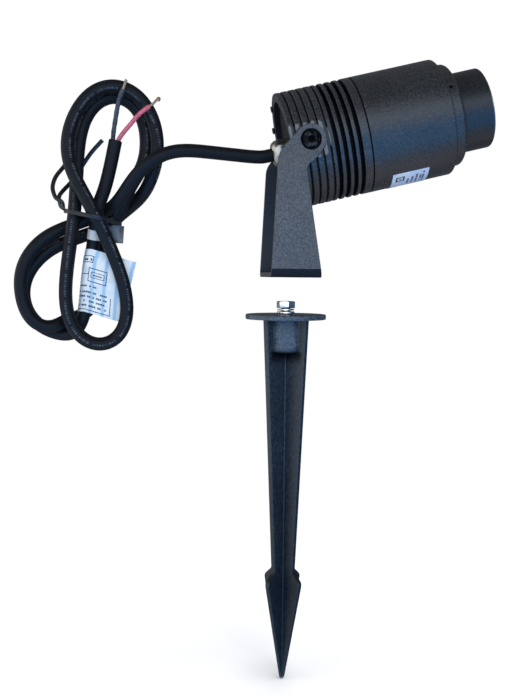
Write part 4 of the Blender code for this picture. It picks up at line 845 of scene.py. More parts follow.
v, f, t = turned(fillet([(FLANGE_Z0, 0), (FLANGE_Z0, FLANGE_R, 0.5), (FLANGE_Z1, FLANGE_R, 0.75), (FLANGE_Z1, 0)], 5), SEG // 2, "Z", turn=0.013)
flange = cutter("c_flange", v, f, STAKEM, WORLD)
v, f, t = turned(fillet([(207.0, 0), (207.0, 12.1, 1.5), (FLANGE_Z0 + 0.7, 10.8), (FLANGE_Z0 + 0.7, 0)], 7), SEG // 2, "Z", turn=0.029)
boss = cutter("c_boss", v, f, STAKEM, WORLD)
combine(stk, [flange, boss], "UNION")
v, f, t = turned([(211.5, 0), (211.5, 4.5), (240.0, 4.5), (240.0, 0)], 48, "Z", turn=0.041)
combine(stk, [cutter("c_insert", v, f, STAKEM, WORLD)])
settle(stk, "stake", ["stake"])

# ejector-pin mark on the near-left rib face
w = math.radians(RIB_TURN + 180)
e, nn = np.array([math.cos(w), math.sin(w), 0]), np.array([-math.sin(w), math.cos(w), 0])
if nn[1] > 0:
    nn = -nn
c = e * 5.6 + nn * 1.5 + np.array([0, 0, 147.5])
ring = []
v, f = [], []
for i in range(40):
    p = 2 * math.pi * i / 40
    rad = e * math.cos(p) + np.array([0, 0, 1.0]) * math.sin(p)
    for q in range(8):
        s = 2 * math.pi * q / 8
        v.append(tuple(c + rad * (1.9 + 0.16 * math.cos(s)) + nn * 0.10 * math.sin(s)))
for i in range(40):
    for q in range(8):
        f.append([i * 8 + q, i * 8 + (q + 1) % 8, ((i + 1) % 40) * 8 + (q + 1) % 8, ((i + 1) % 40) * 8 + q])
build("stake_ejector_mark", v, f, STAKEM, "stake", WORLD)

lathe("threaded_insert_body", [(212.0, 3.25, 0.2), (212.0, 4.2), (230.2, 4.2, 0.3), (230.2, 3.25, 0.3)], 48, ZINC, "stake",
      ["threaded_insert"], at=WORLD, axis="Z")

# bolt and washers
FW0, FW1 = 230.7, 232.1
SW0, SW1 = 232.35, 233.95
HB0 = 234.2
lathe("flat_washer_ring", [(FW0, 3.3, 0.15), (FW0, 5.5, 0.3), (FW1, 5.5, 0.3), (FW1, 3.3, 0.15)], 72, ZINC, "fixing", ["flat_washer"],
      at=WORLD, axis="Z")
v, f = [], []
n = 90
sec = fillet([(-0.95, -0.5, 0.2), (0.95, -0.5, 0.2), (0.95, 0.5, 0.2), (-0.95, 0.5, 0.2)], 3)
for i in range(n + 1):
    p = math.radians(5 + 350 * i / n)
    z = (SW0 + SW1) / 2 - 0.1 + 0.2 * i / n
    for a, b in sec:
        v.append(((4.15 + a) * math.cos(p), (4.15 + a) * math.sin(p), z + b))
m = len(sec)
for i in range(n):
    for k in range(m):
        f.append([i * m + k, i * m + (k + 1) % m, (i + 1) * m + (k + 1) % m, (i + 1) * m + k])
f += [list(range(m))[::-1], [n * m + k for k in range(m)]]
build("spring_washer_ring", v, f, ZINC, "fixing", replaces=["spring_washer"])
# painted shade: the shank and the underside of the zinc head take the black oxide material, for the dark gap under the
# head
o = lathe("hex_bolt_body", [(214.5, 0), (214.5, 2.95, 0.6), (HB0, 2.95), (HB0, 6.4), (HB0 + 3.45, 6.4), (HB0 + 4.2, 5.1, 0.15), (HB0 + 4.2, 0)], 96, [ZINC, BLACKOX], None,
          at=WORLD, axis="Z", pick=lambda p, q: 1 if max(p[0], q[0]) <= HB0 + 0.01 else 0)
v, f = prism(hexagon(10.0, math.radians(-18.3)), 200.0, HB0 + 9, "Z")
combine(o, [cutter("c_bolt", v, f, ZINC, WORLD)], "INTERSECT", bevel=0.13, bevel_angle=40, bevel_seg=2)
settle(o, "fixing", ["hex_bolt"])

# =========================== cable ===========================
# Route of the coil, from the gland to the stripped end, as (x, y, z) from the tilt axis
ROUTE = [
    (-24.3, 0, -5.9), (-32, 0, -5.6), (-42, -1.0, -4.9), (-56, -4, -4.2), (-68.9, -8, -3.8), (-79.6, -10.5, -5.0),
    (-87.1, -11.5, -8.3), (-94.6, -11, -13.8), (-101.0, -8, -20.2), (-107.4, -3, -28.8),
    (-113.5, 4, -36.5), (-122, 8.5, -41.5), (-131, 8.5, -45.0), (-139.6, 5, -48.6), (-153.0, 0, -54.9), (-162.8, -2, -65.0),
    (-168.3, -3, -77.0), (-168.0, -3, -88.8), (-165.2, -2, -101.0), (-158.7, -1, -108.9), (-149.0, 1, -111.8),
    (-138.8, 6, -108.8), (-130.2, 11, -102.0),
    (-124.5, 14, -92), (-122.5, 16, -78), (-122.3, 18, -64), (-120.3, 17.5, -52), (-112.3, 12, -42.7), (-102.6, 6, -34.1),
    (-94.3, 2.5, -24.5), (-89.5, 1, -14), (-87.8, 1, -3.0), (-88.6, 1, 9), (-93.5, 1, 21.5), (-103.0, 0, 31.3),
    (-115.0, -1, 34.1), (-126, -2.5, 29.5), (-134, -4, 19.5), (-138.8, -5.5, 8), (-140.2, -6.5, -4), (-138.0, -7.5, -15),
    (-133.5, -8.5, -25),
    (-128.6, -9.3, -33.5), (-124.4, -10, -41.5), (-118.1, -9.5, -54.6), (-112.2, -8.5, -69), (-107.5, -7.5, -83.4),
    (-105.6, -7.5, -99.0), (-109.3, -7.5, -113.0), (-120.4, -7.5, -119.8), (-131.4, -7.5, -116.0), (-139.3, -7.5, -105.2),
    (-141.6, -7.5, -89.1), (-140.5, -7.5, -73.0), (-138.4, -7.0, -57.0), (-136.6, -6.0, -43.1),
    (-136.0, -3, -30.4), (-135.5, 0, -19), (-135.0, 2.5, -7), (-133.6, 3.5, 5), (-130.0, 4.5, 16.5), (-122.5, 6, 26.0),
    (-112.0, 7, 29.5), (-101.5, 7.5, 24.0), (-96.0, 7.5, 14), (-94.8, 7, 2.1), (-95.2, 6, -7), (-98.5, 4, -16),
    (-104.0, 4.5, -26.5), (-109.5, 6, -36.5),
    (-116.0, 8.2, -45.0), (-123.0, 9.5, -50.6), (-131, 9.0, -53.2), (-141, 7, -57.5), (-152, 6, -62.8), (-161, 5.5, -71),
    (-167, 5.5, -81), (-168.3, 5.5, -92), (-164.4, 5.5, -103), (-156.5, 6, -109.8), (-146.5, 6.5, -111.0),
    (-138.0, 4.5, -107.0),
    (-132.6, 2, -100.5), (-130.6, 1.5, -90), (-128.9, 1.2, -79), (-127.3, 0.9, -68), (-125.7, 0.5, -57), (-124, -0.2, -47),
    (-122.3, -0.8, -38.6), (-120.1, -1, -30.1), (-115.8, -1, -14.2), (-112.5, -1, 1.7)]


def even(P, step):
    s = np.concatenate([[0], np.cumsum(np.linalg.norm(np.diff(P, axis=0), axis=1))])
    n = max(2, int(round(s[-1] / step)) + 1)
    t = np.linspace(0, s[-1], n)
    return np.stack([np.interp(t, s, P[:, k]) for k in range(3)], 1)


def spline(points, step):
    """Centripetal Catmull-Rom through the points, resampled at an even step."""
    P = np.array(points, float)
    P = np.vstack([2 * P[0] - P[1], P, 2 * P[-1] - P[-2]])
    out = []
    for i in range(1, len(P) - 2):
        p0, p1, p2, p3 = P[i - 1:i + 3]
        t1 = math.sqrt(np.linalg.norm(p1 - p0))
        t2 = t1 + math.sqrt(np.linalg.norm(p2 - p1))
        t3 = t2 + math.sqrt(np.linalg.norm(p3 - p2))
        for t in np.linspace(t1, t2, 12, endpoint=False):
            a1 = (t1 - t) / t1 * p0 + t / t1 * p1
            a2 = (t2 - t) / (t2 - t1) * p1 + (t - t1) / (t2 - t1) * p2
            a3 = (t3 - t) / (t3 - t2) * p2 + (t - t2) / (t3 - t2) * p3
            b1 = (t2 - t) / t2 * a1 + t / t2 * a2
            b2 = (t3 - t) / (t3 - t1) * a2 + (t - t1) / (t3 - t1) * a3
            out.append((t2 - t) / (t2 - t1) * b1 + (t - t1) / (t2 - t1) * b2)
    out.append(P[-2])
    return even(np.array(out), step)


def relax(P, gap, rounds=220, keep=6):
    """Pushes strands of the coil apart until no two are nearer than gap, mostly in depth, and keeps the bends even."""
    n = len(P)
    step = np.linalg.norm(P[1] - P[0])
    far_i, far_j = np.triu_indices(n, int(gap * 2.2 / step))
    weight = np.array([0.45, 1.0, 0.45])
    free = np.ones(n)
    free[:keep] = 0
    home = P.copy()
    for k in range(rounds):
        if k % 20 == 0:
            close = np.linalg.norm(P[far_j] - P[far_i], axis=1) < gap + 5
            i, j = far_i[close], far_j[close]
        d = P[j] - P[i]
        L = np.linalg.norm(d, axis=1)
        hit = L < gap
        if hit.any():
            a, b, v, l = i[hit], j[hit], d[hit], L[hit]
            v = v * weight
            v = v / np.maximum(np.linalg.norm(v, axis=1), 1e-6)[:, None]
            m = (gap - l)[:, None] * v * 0.3
            move = np.zeros_like(P)
            cnt = np.ones(n)
            np.add.at(move, a, -m)
            np.add.at(move, b, m)
            np.add.at(cnt, a, 0.35)
            np.add.at(cnt, b, 0.35)
            P = P + move / cnt[:, None] * free[:, None]
        Q = P.copy()
        Q[1:-1] += 0.25 * (P[:-2] + P[2:] - 2 * P[1:-1])
        soft = 0.6 if k < rounds - 60 else 0.25
        P = P + (Q - P) * soft * free[:, None]
        if k < rounds - 60:
            P = P + (home - P) * 0.01 * free[:, None]
    return P


def coil_path():
    """The relaxed route. Relaxing shrinks the loops, so the route is widened until the relaxed loops have their size."""
    want = spline(ROUTE, 2.0)
    aim = want.copy()
    for k in range(4):
        P = relax(aim, 2 * CABLE_R + 0.75)
        miss = (want - P) * np.array([1.0, 0.0, 1.0])
        miss[:6] = 0
        for q in range(8):
            miss[1:-1] = (miss[:-2] + 2 * miss[1:-1] + miss[2:]) / 4
        aim = aim + 0.8 * miss
    P = P + PIVOT
    P[0] = (PIVOT[0] + CABLE_HINGE_A * math.cos(TILT), 0, PIVOT[2] + CABLE_HINGE_A * math.sin(TILT))
    return P


def off(p):
    return np.array(p, float) + PIVOT


def smooth_path(P, rounds):
    for k in range(rounds):
        Q = P.copy()
        Q[1:-1] = (P[:-2] + 2 * P[1:-1] + P[2:]) / 4
        P = Q
    return P


def frames(P, toward=(0, -1, 0)):
    """Tangent, the normal nearest to a given direction, and the third axis, at each point."""
    T = np.zeros_like(P)
    T[1:-1] = P[2:] - P[:-2]
    T[0], T[-1] = P[1] - P[0], P[-1] - P[-2]
    T /= np.linalg.norm(T, axis=1)[:, None]
    up = np.array(toward, float)
    U = up - T * (T @ up)[:, None]
    U /= np.linalg.norm(U, axis=1)[:, None]
    return T, U, np.cross(T, U)


def transported(P, first=(0, -1, 0)):
    """Tangent and side axes carried along a path without twisting."""
    T = np.zeros_like(P)
    T[1:-1] = P[2:] - P[:-2]
    T[0], T[-1] = P[1] - P[0], P[-1] - P[-2]
    T /= np.linalg.norm(T, axis=1)[:, None]
    u = np.array(first, float)
    U = []
    for t in T:
        u = u - t * (u @ t)
        u /= np.linalg.norm(u)
        U.append(u.copy())
    U = np.array(U)
    return T, U, np.cross(T, U)


def tube(P, ring, fr, radius=None, cap_round=(0.0, 0.0)):
    """Closed bar along a path. ring is a list of (u, s) offsets, radius scales each station."""
    T, U, S = fr
    n, m = len(P), len(ring)
    k = np.ones(n) if radius is None else np.array(radius, float)
    R = np.array(ring)
    V, F = [], []
    for i in range(n):
        V.append(P[i] + (U[i] * R[:, :1] + S[i] * R[:, 1:]) * k[i])
    base = 0
    size = np.abs(R).max()
    pre, post = [], []
    for which, amount in enumerate(cap_round):
        if amount:
            i = 0 if which == 0 else n - 1
            sgn = -1 if which == 0 else 1
            rings = []
            for q in (1, 2, 3):
                w = math.radians(22.5 * q)
                rings.append(P[i] + T[i] * sgn * amount * math.sin(w) + (U[i] * R[:, :1] + S[i] * R[:, 1:]) * k[i]
                             * (1 - (amount / size) * (1 - math.cos(w))))
            if which == 0:
                pre = rings[::-1]
            else:
                post = rings
    V = pre + V + post
    L = len(V)
    for i in range(L - 1):
        for q in range(m):
            j = (q + 1) % m
            F.append([i * m + q, i * m + j, (i + 1) * m + j, (i + 1) * m + q])
    F.append(list(range(m))[::-1])
    F.append([(L - 1) * m + q for q in range(m)])
    return np.concatenate(V), F, len(pre), len(post)


PATH = coil_path()
# the jacket starts inside the gland, on the head's axis, and runs on into the coil
hd = HEAD_R @ np.array([1.0, 0, 0])
lead = np.array([PIVOT + hd * a for a in np.arange(-3.0, CABLE_HINGE_A, -1.5)])
full = even(np.vstack([lead, PATH]), 1.3)
full = smooth_path(full, 4)
full[0] = PIVOT + hd * -3.0
SIDES = 32
fr = frames(full)
s_len = np.concatenate([[0], np.cumsum(np.linalg.norm(np.diff(full, axis=0), axis=1))])
# the print line faces the camera on the front loops and turns away elsewhere
total = s_len[-1]
turn_at = np.interp(s_len / total, [0, 0.20, 0.33, 0.37, 0.46, 0.52, 0.56, 0.60, 0.68, 0.745, 0.79, 0.86, 0.93, 1.0],
                    [150, 165, 60, -20, -28, -26, -8, 2, -28, -12, 18, 60, 150, 170])
ang = 2 * math.pi * np.arange(SIDES) / SIDES
ringc = [(CABLE_R * math.cos(a), CABLE_R * math.sin(a)) for a in ang]
V, F, n0, n1 = tube(full, ringc, fr, None, (0.0, 0.45))
run = []
for i in range(len(V) // SIDES):
    k = min(max(i - n0, 0), len(full) - 1)
    a = ang - math.radians(turn_at[k])
    run += list(zip(np.full(SIDES, s_len[k]), np.cos(a), np.sin(a)))
cab = build("cable_jacket", V, F, [CABLEM, SEALM], None, attrs={"run": run}, smooth=50)
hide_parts("cable_coil", "cable_stub")
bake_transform(cab)


def circle(r, n, squash=1.0):
    return [(r * math.cos(2 * math.pi * k / n) * squash, r * math.sin(2 * math.pi * k / n)) for k in range(n)]


# stripped cores
end_t = (PATH[-1] - PATH[-4]) / np.linalg.norm(PATH[-1] - PATH[-4])
sidev = np.cross(end_t, (0, 1, 0))
BLACK = [PATH[-1] - end_t * 1.5 + sidev * 1.7, PATH[-1] + end_t * 1.1 + sidev * 1.7] + [off(p) for p in [
    (-113.4, -3.2, 7.0), (-112.3, -5.6, 12.6), (-110.9, -7.6, 20.0), (-109.6, -8.6, 25.2), (-107.5, -9.2, 30.4)]]
RED = [PATH[-1] - end_t * 1.5 - sidev * 1.7, PATH[-1] + end_t * 1.1 - sidev * 1.7] + [off(p) for p in [
    (-107.6, -3.0, 6.6), (-103.2, -5.0, 11.4), (-99.6, -6.8, 15.4), (-96.2, -8.0, 18.4), (-92.1, -8.6, 21.3)]]
P = spline(BLACK, 0.35)
k = np.arange(len(P)) * 0.35
rad = 1 + 0.045 * np.sin(k * 1.1) + 0.03 * np.sin(k * 2.7 + 1)
V, F, a, b = tube(P, circle(1.38, 18, 0.9), transported(P), rad, (0.0, 0.3))
build("black_core_jacket", V, F, BLKM, "cable", replaces=["black_core"], smooth=50)
P = spline(RED, 0.18)
T, U, S = transported(P)
m, V, F = 18, [], []
for i in range(len(P)):
    for q in range(m):
        a = 2 * math.pi * q / m
        swell = 1 + 0.07 * math.sin(2 * math.pi * i * 0.18 / 1.15 + a) * min(1, i / 20.0)
        r = 1.34 * swell
        V.append(P[i] + U[i] * r * math.cos(a) + S[i] * r * math.sin(a))
for i in range(len(P) - 1):
    for q in range(m):
        F.append([i * m + q, i * m + (q + 1) % m, (i + 1) * m + (q + 1) % m, (i + 1) * m + q])
F += [list(range(m))[::-1], [(len(P) - 1) * m + q for q in range(m)]]
build("red_core_jacket", V, F, REDM, "cable", replaces=["red_core"], smooth=50)


def strands(name, pts, count, spread, r, pitch, node_name, flare=0.0, seed=1):
    """Twisted bare copper strands as one piece: one centre strand and a ring round it."""
    rng = np.random.default_rng(seed)
    P = spline(pts, 0.3)
    T, U, S = transported(P)
    V, F = [], []
    s = np.arange(len(P)) * 0.3
    for k in range(count):
        if k == 0:
            Q = P.copy()
        else:
            ph = 2 * math.pi * k / (count - 1) + 2 * math.pi * s / pitch
            out = spread * (1 + flare * (s / s[-1]) ** 3 * rng.uniform(0.4, 1.6))
            Q = P + U * (np.cos(ph) * out)[:, None] + S * (np.sin(ph) * out)[:, None]
        end = len(Q) - int(rng.integers(0, 3))
        Q = Q[:end]
        v, f, a, b = tube(Q, circle(r, 8), transported(Q), None, (0.0, r * 0.9))
        base = len(V)
        V += list(v)
        F += [[x + base for x in q] for q in f]
    build(name, V, F, COPPER, "cable", replaces=[node_name], smooth=60)


strands("black_core_strands", [off(p) for p in [(-108.1, -9.1, 29.0), (-107.3, -9.2, 31.0), (-106.3, -9.2, 33.8), (-105.5, -9.3, 36.2)]], 7, 0.52, 0.3, 9.0,
        "black_core_copper", 0.35, 3)
strands("red_core_strands", [off(p) for p in [(-93.2, -8.5, 20.5), (-91.5, -8.6, 21.7), (-89.9, -8.6, 23.0), (-88.2, -8.7, 24.8), (-86.9, -9.0, 26.2),
                                              (-86.2, -9.8, 25.6), (-87.0, -10.2, 24.2)]], 7, 0.48, 0.28, 9.0, "red_core_copper", 0.15, 4)

# white sleeve on the end strand, above the flag
END = len(PATH) - 60                     # the end strand rises through the flag
i0 = int(np.argmin(np.abs(PATH[END:, 2] - (PIVOT[2] - 57.2)))) + END
i1 = int(np.argmin(np.abs(PATH[END:, 2] - (PIVOT[2] - 50.2)))) + END
P = even(PATH[i0:i1 + 1], 0.8)
outer, F0, a, b = tube(P, circle(CABLE_R + 0.3, 40), frames(P))
inner, F1, a, b = tube(P, circle(CABLE_R + 0.05, 40), frames(P))
n = len(outer)
side = len(F0) - 2
F = F0[:side] + [[x + n for x in q[::-1]] for q in F1[:side]]
for ring in (0, (len(P) - 1) * 40):
    for q in range(40):
        j = (q + 1) % 40
        F.append([ring + q, ring + j, n + ring + j, n + ring + q])
build("cable_sleeve", np.vstack([outer, inner]), F, SLEEVEM, "cable", smooth=40)

# printed flag: folded round the end strand at its left edge
LABEL = [(-128.8, -62.5), (-100.0, -70.2), (-109.0, -106.5), (-136.3, -99.9)]


def label_y(z):
    return -3.9 + 1.3 * (-62.5 - z) / 44.0


NV, NU = 36, 44
TH = 0.09
tl, tr, br, bl = [np.array(p) for p in LABEL]
grid, sheet = [], []
for j in range(NV + 1):
    t = j / NV
    left, right = tl + (bl - tl) * t, tr + (br - tr) * t
    zc = (left[1])
    # centre of the strand at this height
    seg = PATH[END:]
    q = seg[np.argmin(np.abs(seg[:, 2] - (PIVOT[2] + zc)))] - PIVOT
    cx, cy = q[0], q[1]
    fy = label_y(left[1])
    r = max(CABLE_R + 0.16, cy - fy)
    line = []
    for k in range(19):                       # behind the strand, round its left side, to the front
        w = math.radians(58 + (270 - 58) * k / 18)
        line.append((cx + r * math.cos(w), cy + r * math.sin(w), left[1] - 0.0 * k))
    x0 = line[-1][0]
    for k in range(1, NU - 18):
        g = k / (NU - 19)
        x = x0 + (right[0] - x0) * g
        z = left[1] + (right[1] - left[1]) * g
        curl = 1.3 * max(0, g - 0.72) ** 2 * 12 * 0.35 + 0.22 * math.sin(g * 7 + t * 2.2)
        line.append((x, label_y(z) - (0.25 if g < 0.5 else 0.25) * math.sin(g * math.pi) + 0.0 + curl * 0.6, z))
    s = 0.0
    for k, p in enumerate(line):
        if k:
            s += math.dist(p, line[k - 1])
        grid.append(off(p))
        sheet.append((s - 8.5, 38.0 * (1 - t), 0))
W = len(line)
G = np.array(grid).reshape(NV + 1, W, 3)
du = np.gradient(G, axis=1)
dv = np.gradient(G, axis=0)
nrm = np.cross(du, dv)
nrm /= np.linalg.norm(nrm, axis=2)[..., None]
top, bot = (G + nrm * TH / 2).reshape(-1, 3), (G - nrm * TH / 2).reshape(-1, 3)
F, half = [], len(top)
for j in range(NV):
    for k in range(W - 1):
        q = [j * W + k, j * W + k + 1, (j + 1) * W + k + 1, (j + 1) * W + k]
        F += [q, [x + half for x in q[::-1]]]
edge = list(range(W)) + [(j + 1) * W - 1 for j in range(1, NV + 1)] + [NV * W + k for k in range(W - 2, -1, -1)] + [j * W for j in range(NV - 1, 0, -1)]
for k in range(len(edge)):
    a, b = edge[k], edge[(k + 1) % len(edge)]
    F.append([a, b, b + half, a + half])
build("cable_label_film", np.vstack([top, bot]), F, FLAGM, "cable", attrs={"sheet": sheet + sheet}, replaces=["cable_label"], smooth=60)

# smoky tab
quad = [np.array(p) for p in [(-117.4, -47.9), (-107.3, -48.6), (-108.0, -59.0), (-114.0, -58.7)]]
NA = 14
G = np.zeros((NA + 1, NA + 1, 3))
for j in range(NA + 1):
    for k in range(NA + 1):
        t, g = j / NA, k / NA
        p = (quad[0] * (1 - g) + quad[1] * g) * (1 - t) + (quad[3] * (1 - g) + quad[2] * g) * t
        G[j, k] = off((p[0], -1.9 - 0.9 * math.sin(g * 2.4) * (0.4 + 0.6 * t) + 0.4 * math.sin(t * 3), p[1]))
du, dv = np.gradient(G, axis=1), np.gradient(G, axis=0)
nrm = np.cross(du, dv)
nrm /= np.linalg.norm(nrm, axis=2)[..., None]
top, bot = (G + nrm * 0.07).reshape(-1, 3), (G - nrm * 0.07).reshape(-1, 3)
F, half, W = [], len(top), NA + 1
for j in range(NA):
    for k in range(NA):
        q = [j * W + k, j * W + k + 1, (j + 1) * W + k + 1, (j + 1) * W + k]
        F += [q, [x + half for x in q[::-1]]]
edge = list(range(W)) + [(j + 1) * W - 1 for j in range(1, NA + 1)] + [NA * W + k for k in range(W - 2, -1, -1)] + [j * W for j in range(NA - 1, 0, -1)]
for k in range(len(edge)):
    a, b = edge[k], edge[(k + 1) % len(edge)]
    F.append([a, b, b + half, a + half])
build("cable_tab_film", np.vstack([top, bot]), F, SMOKE, "cable", replaces=["cable_tab"], smooth=60)


# twist tie
def tie_loop(P, centre, normal, grow, seg=32):
    c, nrm = np.array(centre, float), np.array(normal, float)
    nrm /= np.linalg.norm(nrm)
    u = np.array([1.0, 0, 0]) - nrm * nrm[0]
    u /= np.linalg.norm(u)
    v = np.cross(nrm, u)
    pts = []
    for p in P:
        d = (p - c) @ nrm
        if abs(d) < grow:
            r = math.sqrt(grow * grow - d * d)
            q = ((p - c) @ u, (p - c) @ v)
            pts += [(q[0] + r * math.cos(w), q[1] + r * math.sin(w)) for w in np.linspace(0, 2 * math.pi, 24, endpoint=False)]
    pts = sorted(pts)
    def half(ps):
        h = []
        for p in ps:
            while len(h) > 1 and (h[-1][0] - h[-2][0]) * (p[1] - h[-2][1]) - (h[-1][1] - h[-2][1]) * (p[0] - h[-2][0]) <= 0:
                h.pop()
            h.append(p)
        return h
    hull = half(pts)[:-1] + half(pts[::-1])[:-1]
    hull.append(hull[0])
    H = even(np.array([(x, y, 0) for x, y in hull]), 1.0)
    t = np.linspace(0, len(H) - 1, seg + 1)
    return [c + u * np.interp(k, np.arange(len(H)), H[:, 0]) + v * np.interp(k, np.arange(len(H)), H[:, 1]) for k in t[:-1]]


TIE_C, TIE_N = off((-124.0, 3.0, -44.0)), (0.21, 0.0, 0.98)
LOOP = tie_loop(PATH[30:], TIE_C, TIE_N, CABLE_R + 0.9)
# its two ends twist once round each other between K0 and K1, then run free
K0, K1 = np.array([-147.2, 1.6, -31.8]), np.array([-142.2, -3.2, -39.6])
ACROSS = np.array([0.84, 0.0, 0.54])


def twisted(sign):
    out = []
    for t in np.linspace(0, 1, 8):
        w = math.pi * (0.5 + (t - 0.2) / 0.7)
        out.append(K0 + (K1 - K0) * t - sign * ACROSS * 1.25 * math.cos(w) - sign * np.array([0, 1.0, 0]) * math.sin(w))
    return out


lead_in = [(-141.7, 9.8, -8.7), (-143.9, 9.8, -12.2), (-149.0, 7.0, -19.5), (-150.4, 4.4, -25.8), (-149.5, 2.6, -29.3)] + twisted(1)
lead_out = twisted(-1)[::-1] + [(-144.2, 6.4, -27.2), (-140.0, 9.0, -22.2), (-136.9, 10.4, -17.9), (-133.6, 10.0, -12.6), (-127.6, 7.5, -4.3), (-120.6, 4.5, 2.9)]
P = spline([off(p) for p in lead_in] + list(LOOP[1:]) + [off(p) for p in lead_out], 0.7)
P = smooth_path(P, 6)
T, U, S = transported(P, (0, -1, 0))
c = LOOP and np.mean(LOOP, 0)
# the strap lies flat on the bundle: its thin side points away from the bundle's centre
D = P - c
D /= np.maximum(np.linalg.norm(D, axis=1), 1e-6)[:, None]
away = np.abs((P - TIE_C) @ (np.array(TIE_N) / np.linalg.norm(TIE_N)))
away = np.clip((away - 3.0) / 5.0, 0, 1)[:, None]
D = D * (1 - away) + np.array([0.0, -1.0, 0.0]) * away
D = D - T * np.sum(D * T, 1)[:, None]
D /= np.maximum(np.linalg.norm(D, axis=1), 1e-6)[:, None]
for k in range(6):
    D[1:-1] = D[:-2] + 2 * D[1:-1] + D[2:]
    D = D - T * np.sum(D * T, 1)[:, None]
    D /= np.linalg.norm(D, axis=1)[:, None]
ringt = fillet([(-0.30, -1.28, 0.25), (0.30, -1.28, 0.25), (0.36, -0.45, 0.2), (0.50, 0.0, 0.3), (0.36, 0.45, 0.2), (0.30, 1.28, 0.25), (-0.30, 1.28, 0.25),
                (-0.36, 0.0, 0.3)], 2)
V, F, a, b = tube(P, ringt, (T, D, np.cross(T, D)))
build("twist_tie_strap", V, F, TIEM, "cable", replaces=["twist_tie"], smooth=40)
# =========================== CAD nodes that stay ===========================
KEEP = {
    "condenser_holder": ALU, "condenser_spacer": ALU, "lens_spacer": ALU, "gobo_holder": ALU, "gobo_retaining_ring": ALU, "led_board": ALU,
    "gobo_disc": BRIGHT, "led_chip": LEDM, "condenser_lens_1": GLASS, "condenser_lens_2": GLASS, "driver_board": PCBM, "driver_capacitor": CAPM,
    "driver_inductor": FERR, "board_stud_1": ZINC, "board_stud_2": ZINC, "led_wire_red": REDM, "led_wire_black": BLKM, "rear_gasket": SEALM,
    "gland_lock_nut": NICKEL, "focus_o_ring": SEALM, "body_o_ring": SEALM}
for name, m in KEEP.items():
    o = frame["nodes"][name]
    o.data.materials.clear()
    o.data.materials.append(m)

# =========================== stage, light, camera ===========================
def stage_material():
    """Pale floor: lit and shadowed near the stake, fading into the plain backdrop farther out."""
    m = bpy.data.materials.new("pale_floor")
    m.use_nodes = True
    nt = m.node_tree
    b = nt.nodes["Principled BSDF"]
    out = nt.nodes["Material Output"]
    tc = node(nt, "TexCoord").outputs["Object"]
    b.inputs["Base Color"].default_value = (0.86, 0.86, 0.865, 1)
    b.inputs["Roughness"].default_value = 0.95
    b.inputs["Specular IOR Level"].default_value = 0.0
    em = node(nt, "Emission", None, Color=(1.0, 1.0, 1.0, 1.0), Strength=1.0)
    length = node(nt, "VectorMath", {"operation": "LENGTH"})
    nt.links.new(tc, length.inputs[0])
    far = ramp(nt, length.outputs["Value"], 0.10, 0.45)
    mx = nt.nodes.new("ShaderNodeMixShader")
    nt.links.new(far, mx.inputs[0])
    nt.links.new(b.outputs[0], mx.inputs[1])
    nt.links.new(em.outputs[0], mx.inputs[2])
    nt.links.new(mx.outputs[0], out.inputs["Surface"])
    return m


me = bpy.data.meshes.new("floor")
S = 40.0
me.from_pydata([(-S, -S, 0), (S, -S, 0), (S, S, 0), (-S, S, 0)], [], [[0, 1, 2, 3]])
floor = bpy.data.objects.new("floor", me)
me.materials.append(stage_material())
bpy.context.scene.collection.objects.link(floor)
floor.location = (0, 0, -0.0006)
floor.visible_diffuse = floor.visible_glossy = floor.visible_transmission = False

world = bpy.data.worlds.new("studio")
bpy.context.scene.world = world
world.use_nodes = True
if hasattr(world, "cycles"):
    world.cycles.sampling_method = "NONE"
nt = world.node_tree
bg = nt.nodes["Background"]
lp = node(nt, "LightPath")
sep = node(nt, "SeparateXYZ", None, Vector=node(nt, "TexCoord").outputs["Generated"])
DX, DY, DZ = sep.outputs
phi = val(nt, "MULTIPLY", val(nt, "ARCTAN2", DZ, val(nt, "MULTIPLY", DY, -1.0)), 180 / math.pi)


def window(a, b, soft=5.0):
    return val(nt, "MULTIPLY", ramp(nt, phi, a - soft, a + soft), val(nt, "SUBTRACT", 1.0, ramp(nt, phi, b - soft, b + soft)))


def sky(grey, blue, brown, rest, left, right):
    c = mix(nt, window(0, 33, 9.0), rest, grey)
    c = mix(nt, window(-62, 0, 9.0), c, blue)
    c = mix(nt, window(-114, -62, 9.0), c, brown)
    c = mix(nt, ramp(nt, DX, -0.60, -0.90), c, left)
    return mix(nt, ramp(nt, DX, 0.62, 0.90), c, right)


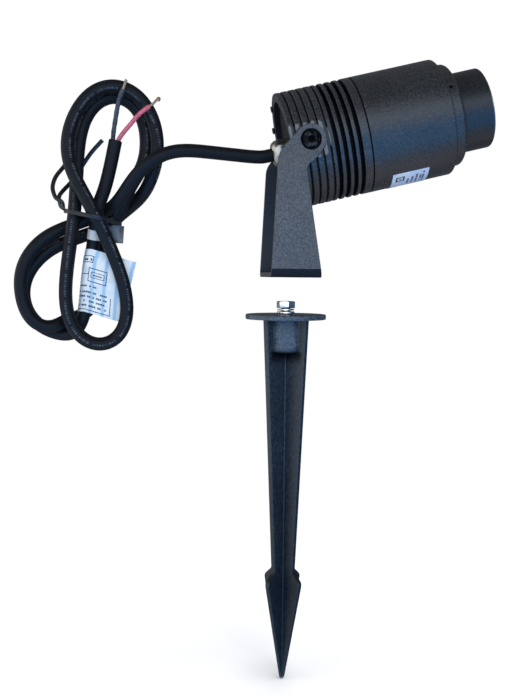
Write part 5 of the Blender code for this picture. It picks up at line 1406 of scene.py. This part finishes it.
shine = sky((1.24, 1.42, 1.74), (0.24, 0.86, 1.9), (0.52, 0.50, 0.54), (0.14, 0.15, 0.17), (1.0, 1.06, 1.12), (0.05, 0.11, 0.22))
soft = sky((1.15, 1.18, 1.2), (0.55, 0.80, 1.15), (0.46, 0.46, 0.50), (0.33, 0.345, 0.37), (0.8, 0.85, 0.9), (0.35, 0.42, 0.5))
light = mix(nt, lp.outputs["Is Diffuse Ray"], shine, soft)
nt.links.new(mix(nt, lp.outputs["Is Camera Ray"], light, (1.0, 1.0, 1.0)), bg.inputs["Color"])
bg.inputs["Strength"].default_value = 1.0


def area(name, loc, target, size, energy, colour=(1, 1, 1), size_y=None):
    d = bpy.data.lights.new(name, "AREA")
    d.energy, d.color, d.size = energy, colour, size
    if size_y:
        d.shape, d.size_y = "RECTANGLE", size_y
    o = bpy.data.objects.new(name, d)
    bpy.context.scene.collection.objects.link(o)
    o.location = loc
    o.rotation_euler = (Vector(target) - Vector(loc)).to_track_quat("-Z", "Y").to_euler()
    o.visible_camera = False
    return o


key = area("key_front", (0.15, -1.15, 0.62), (0.02, 0, 0.26), 0.6, 3.6, (1.0, 1.0, 1.0), 0.35)
key.visible_glossy = False
wash = area("floor_wash", (0.15, -0.1, 1.4), (0, 0, 0), 0.9, 22.0)
only = bpy.data.collections.new("floor_only")
only.objects.link(floor)
wash.light_linking.receiver_collection = only

# a white card that only the plated fixings see
card = area("fixings_card", (-0.10, -1.0, 0.20), (0, 0, 0.236), 0.9, 4.0, (1.0, 1.0, 1.0), 0.34)
bright = bpy.data.collections.new("plated_fixings")
for n in ("hex_bolt_body", "flat_washer_ring", "spring_washer_ring"):
    bright.objects.link(bpy.data.objects[n])
card.light_linking.receiver_collection = bright

cam_d = bpy.data.cameras.new("camera")
cam_d.lens, cam_d.sensor_width = 48.59, 36.0
cam = bpy.data.objects.new("camera", cam_d)
bpy.context.scene.collection.objects.link(cam)
r, u, d = Vector((0.99627, -0.08577, 0.00944)), Vector((-0.00263, 0.07913, 0.99686)), Vector((0.08625, 0.99317, -0.07861))
rot = Matrix((r, u, -d)).transposed().to_4x4()
cam.matrix_world = Matrix.Translation((-0.06435, -0.57827, 0.25397)) @ rot
cam_d.clip_start, cam_d.clip_end = 0.01, 200.0
bpy.context.scene.camera = cam
bpy.context.scene.view_settings.view_transform = "Standard"
bpy.context.scene.view_settings.look = "None"
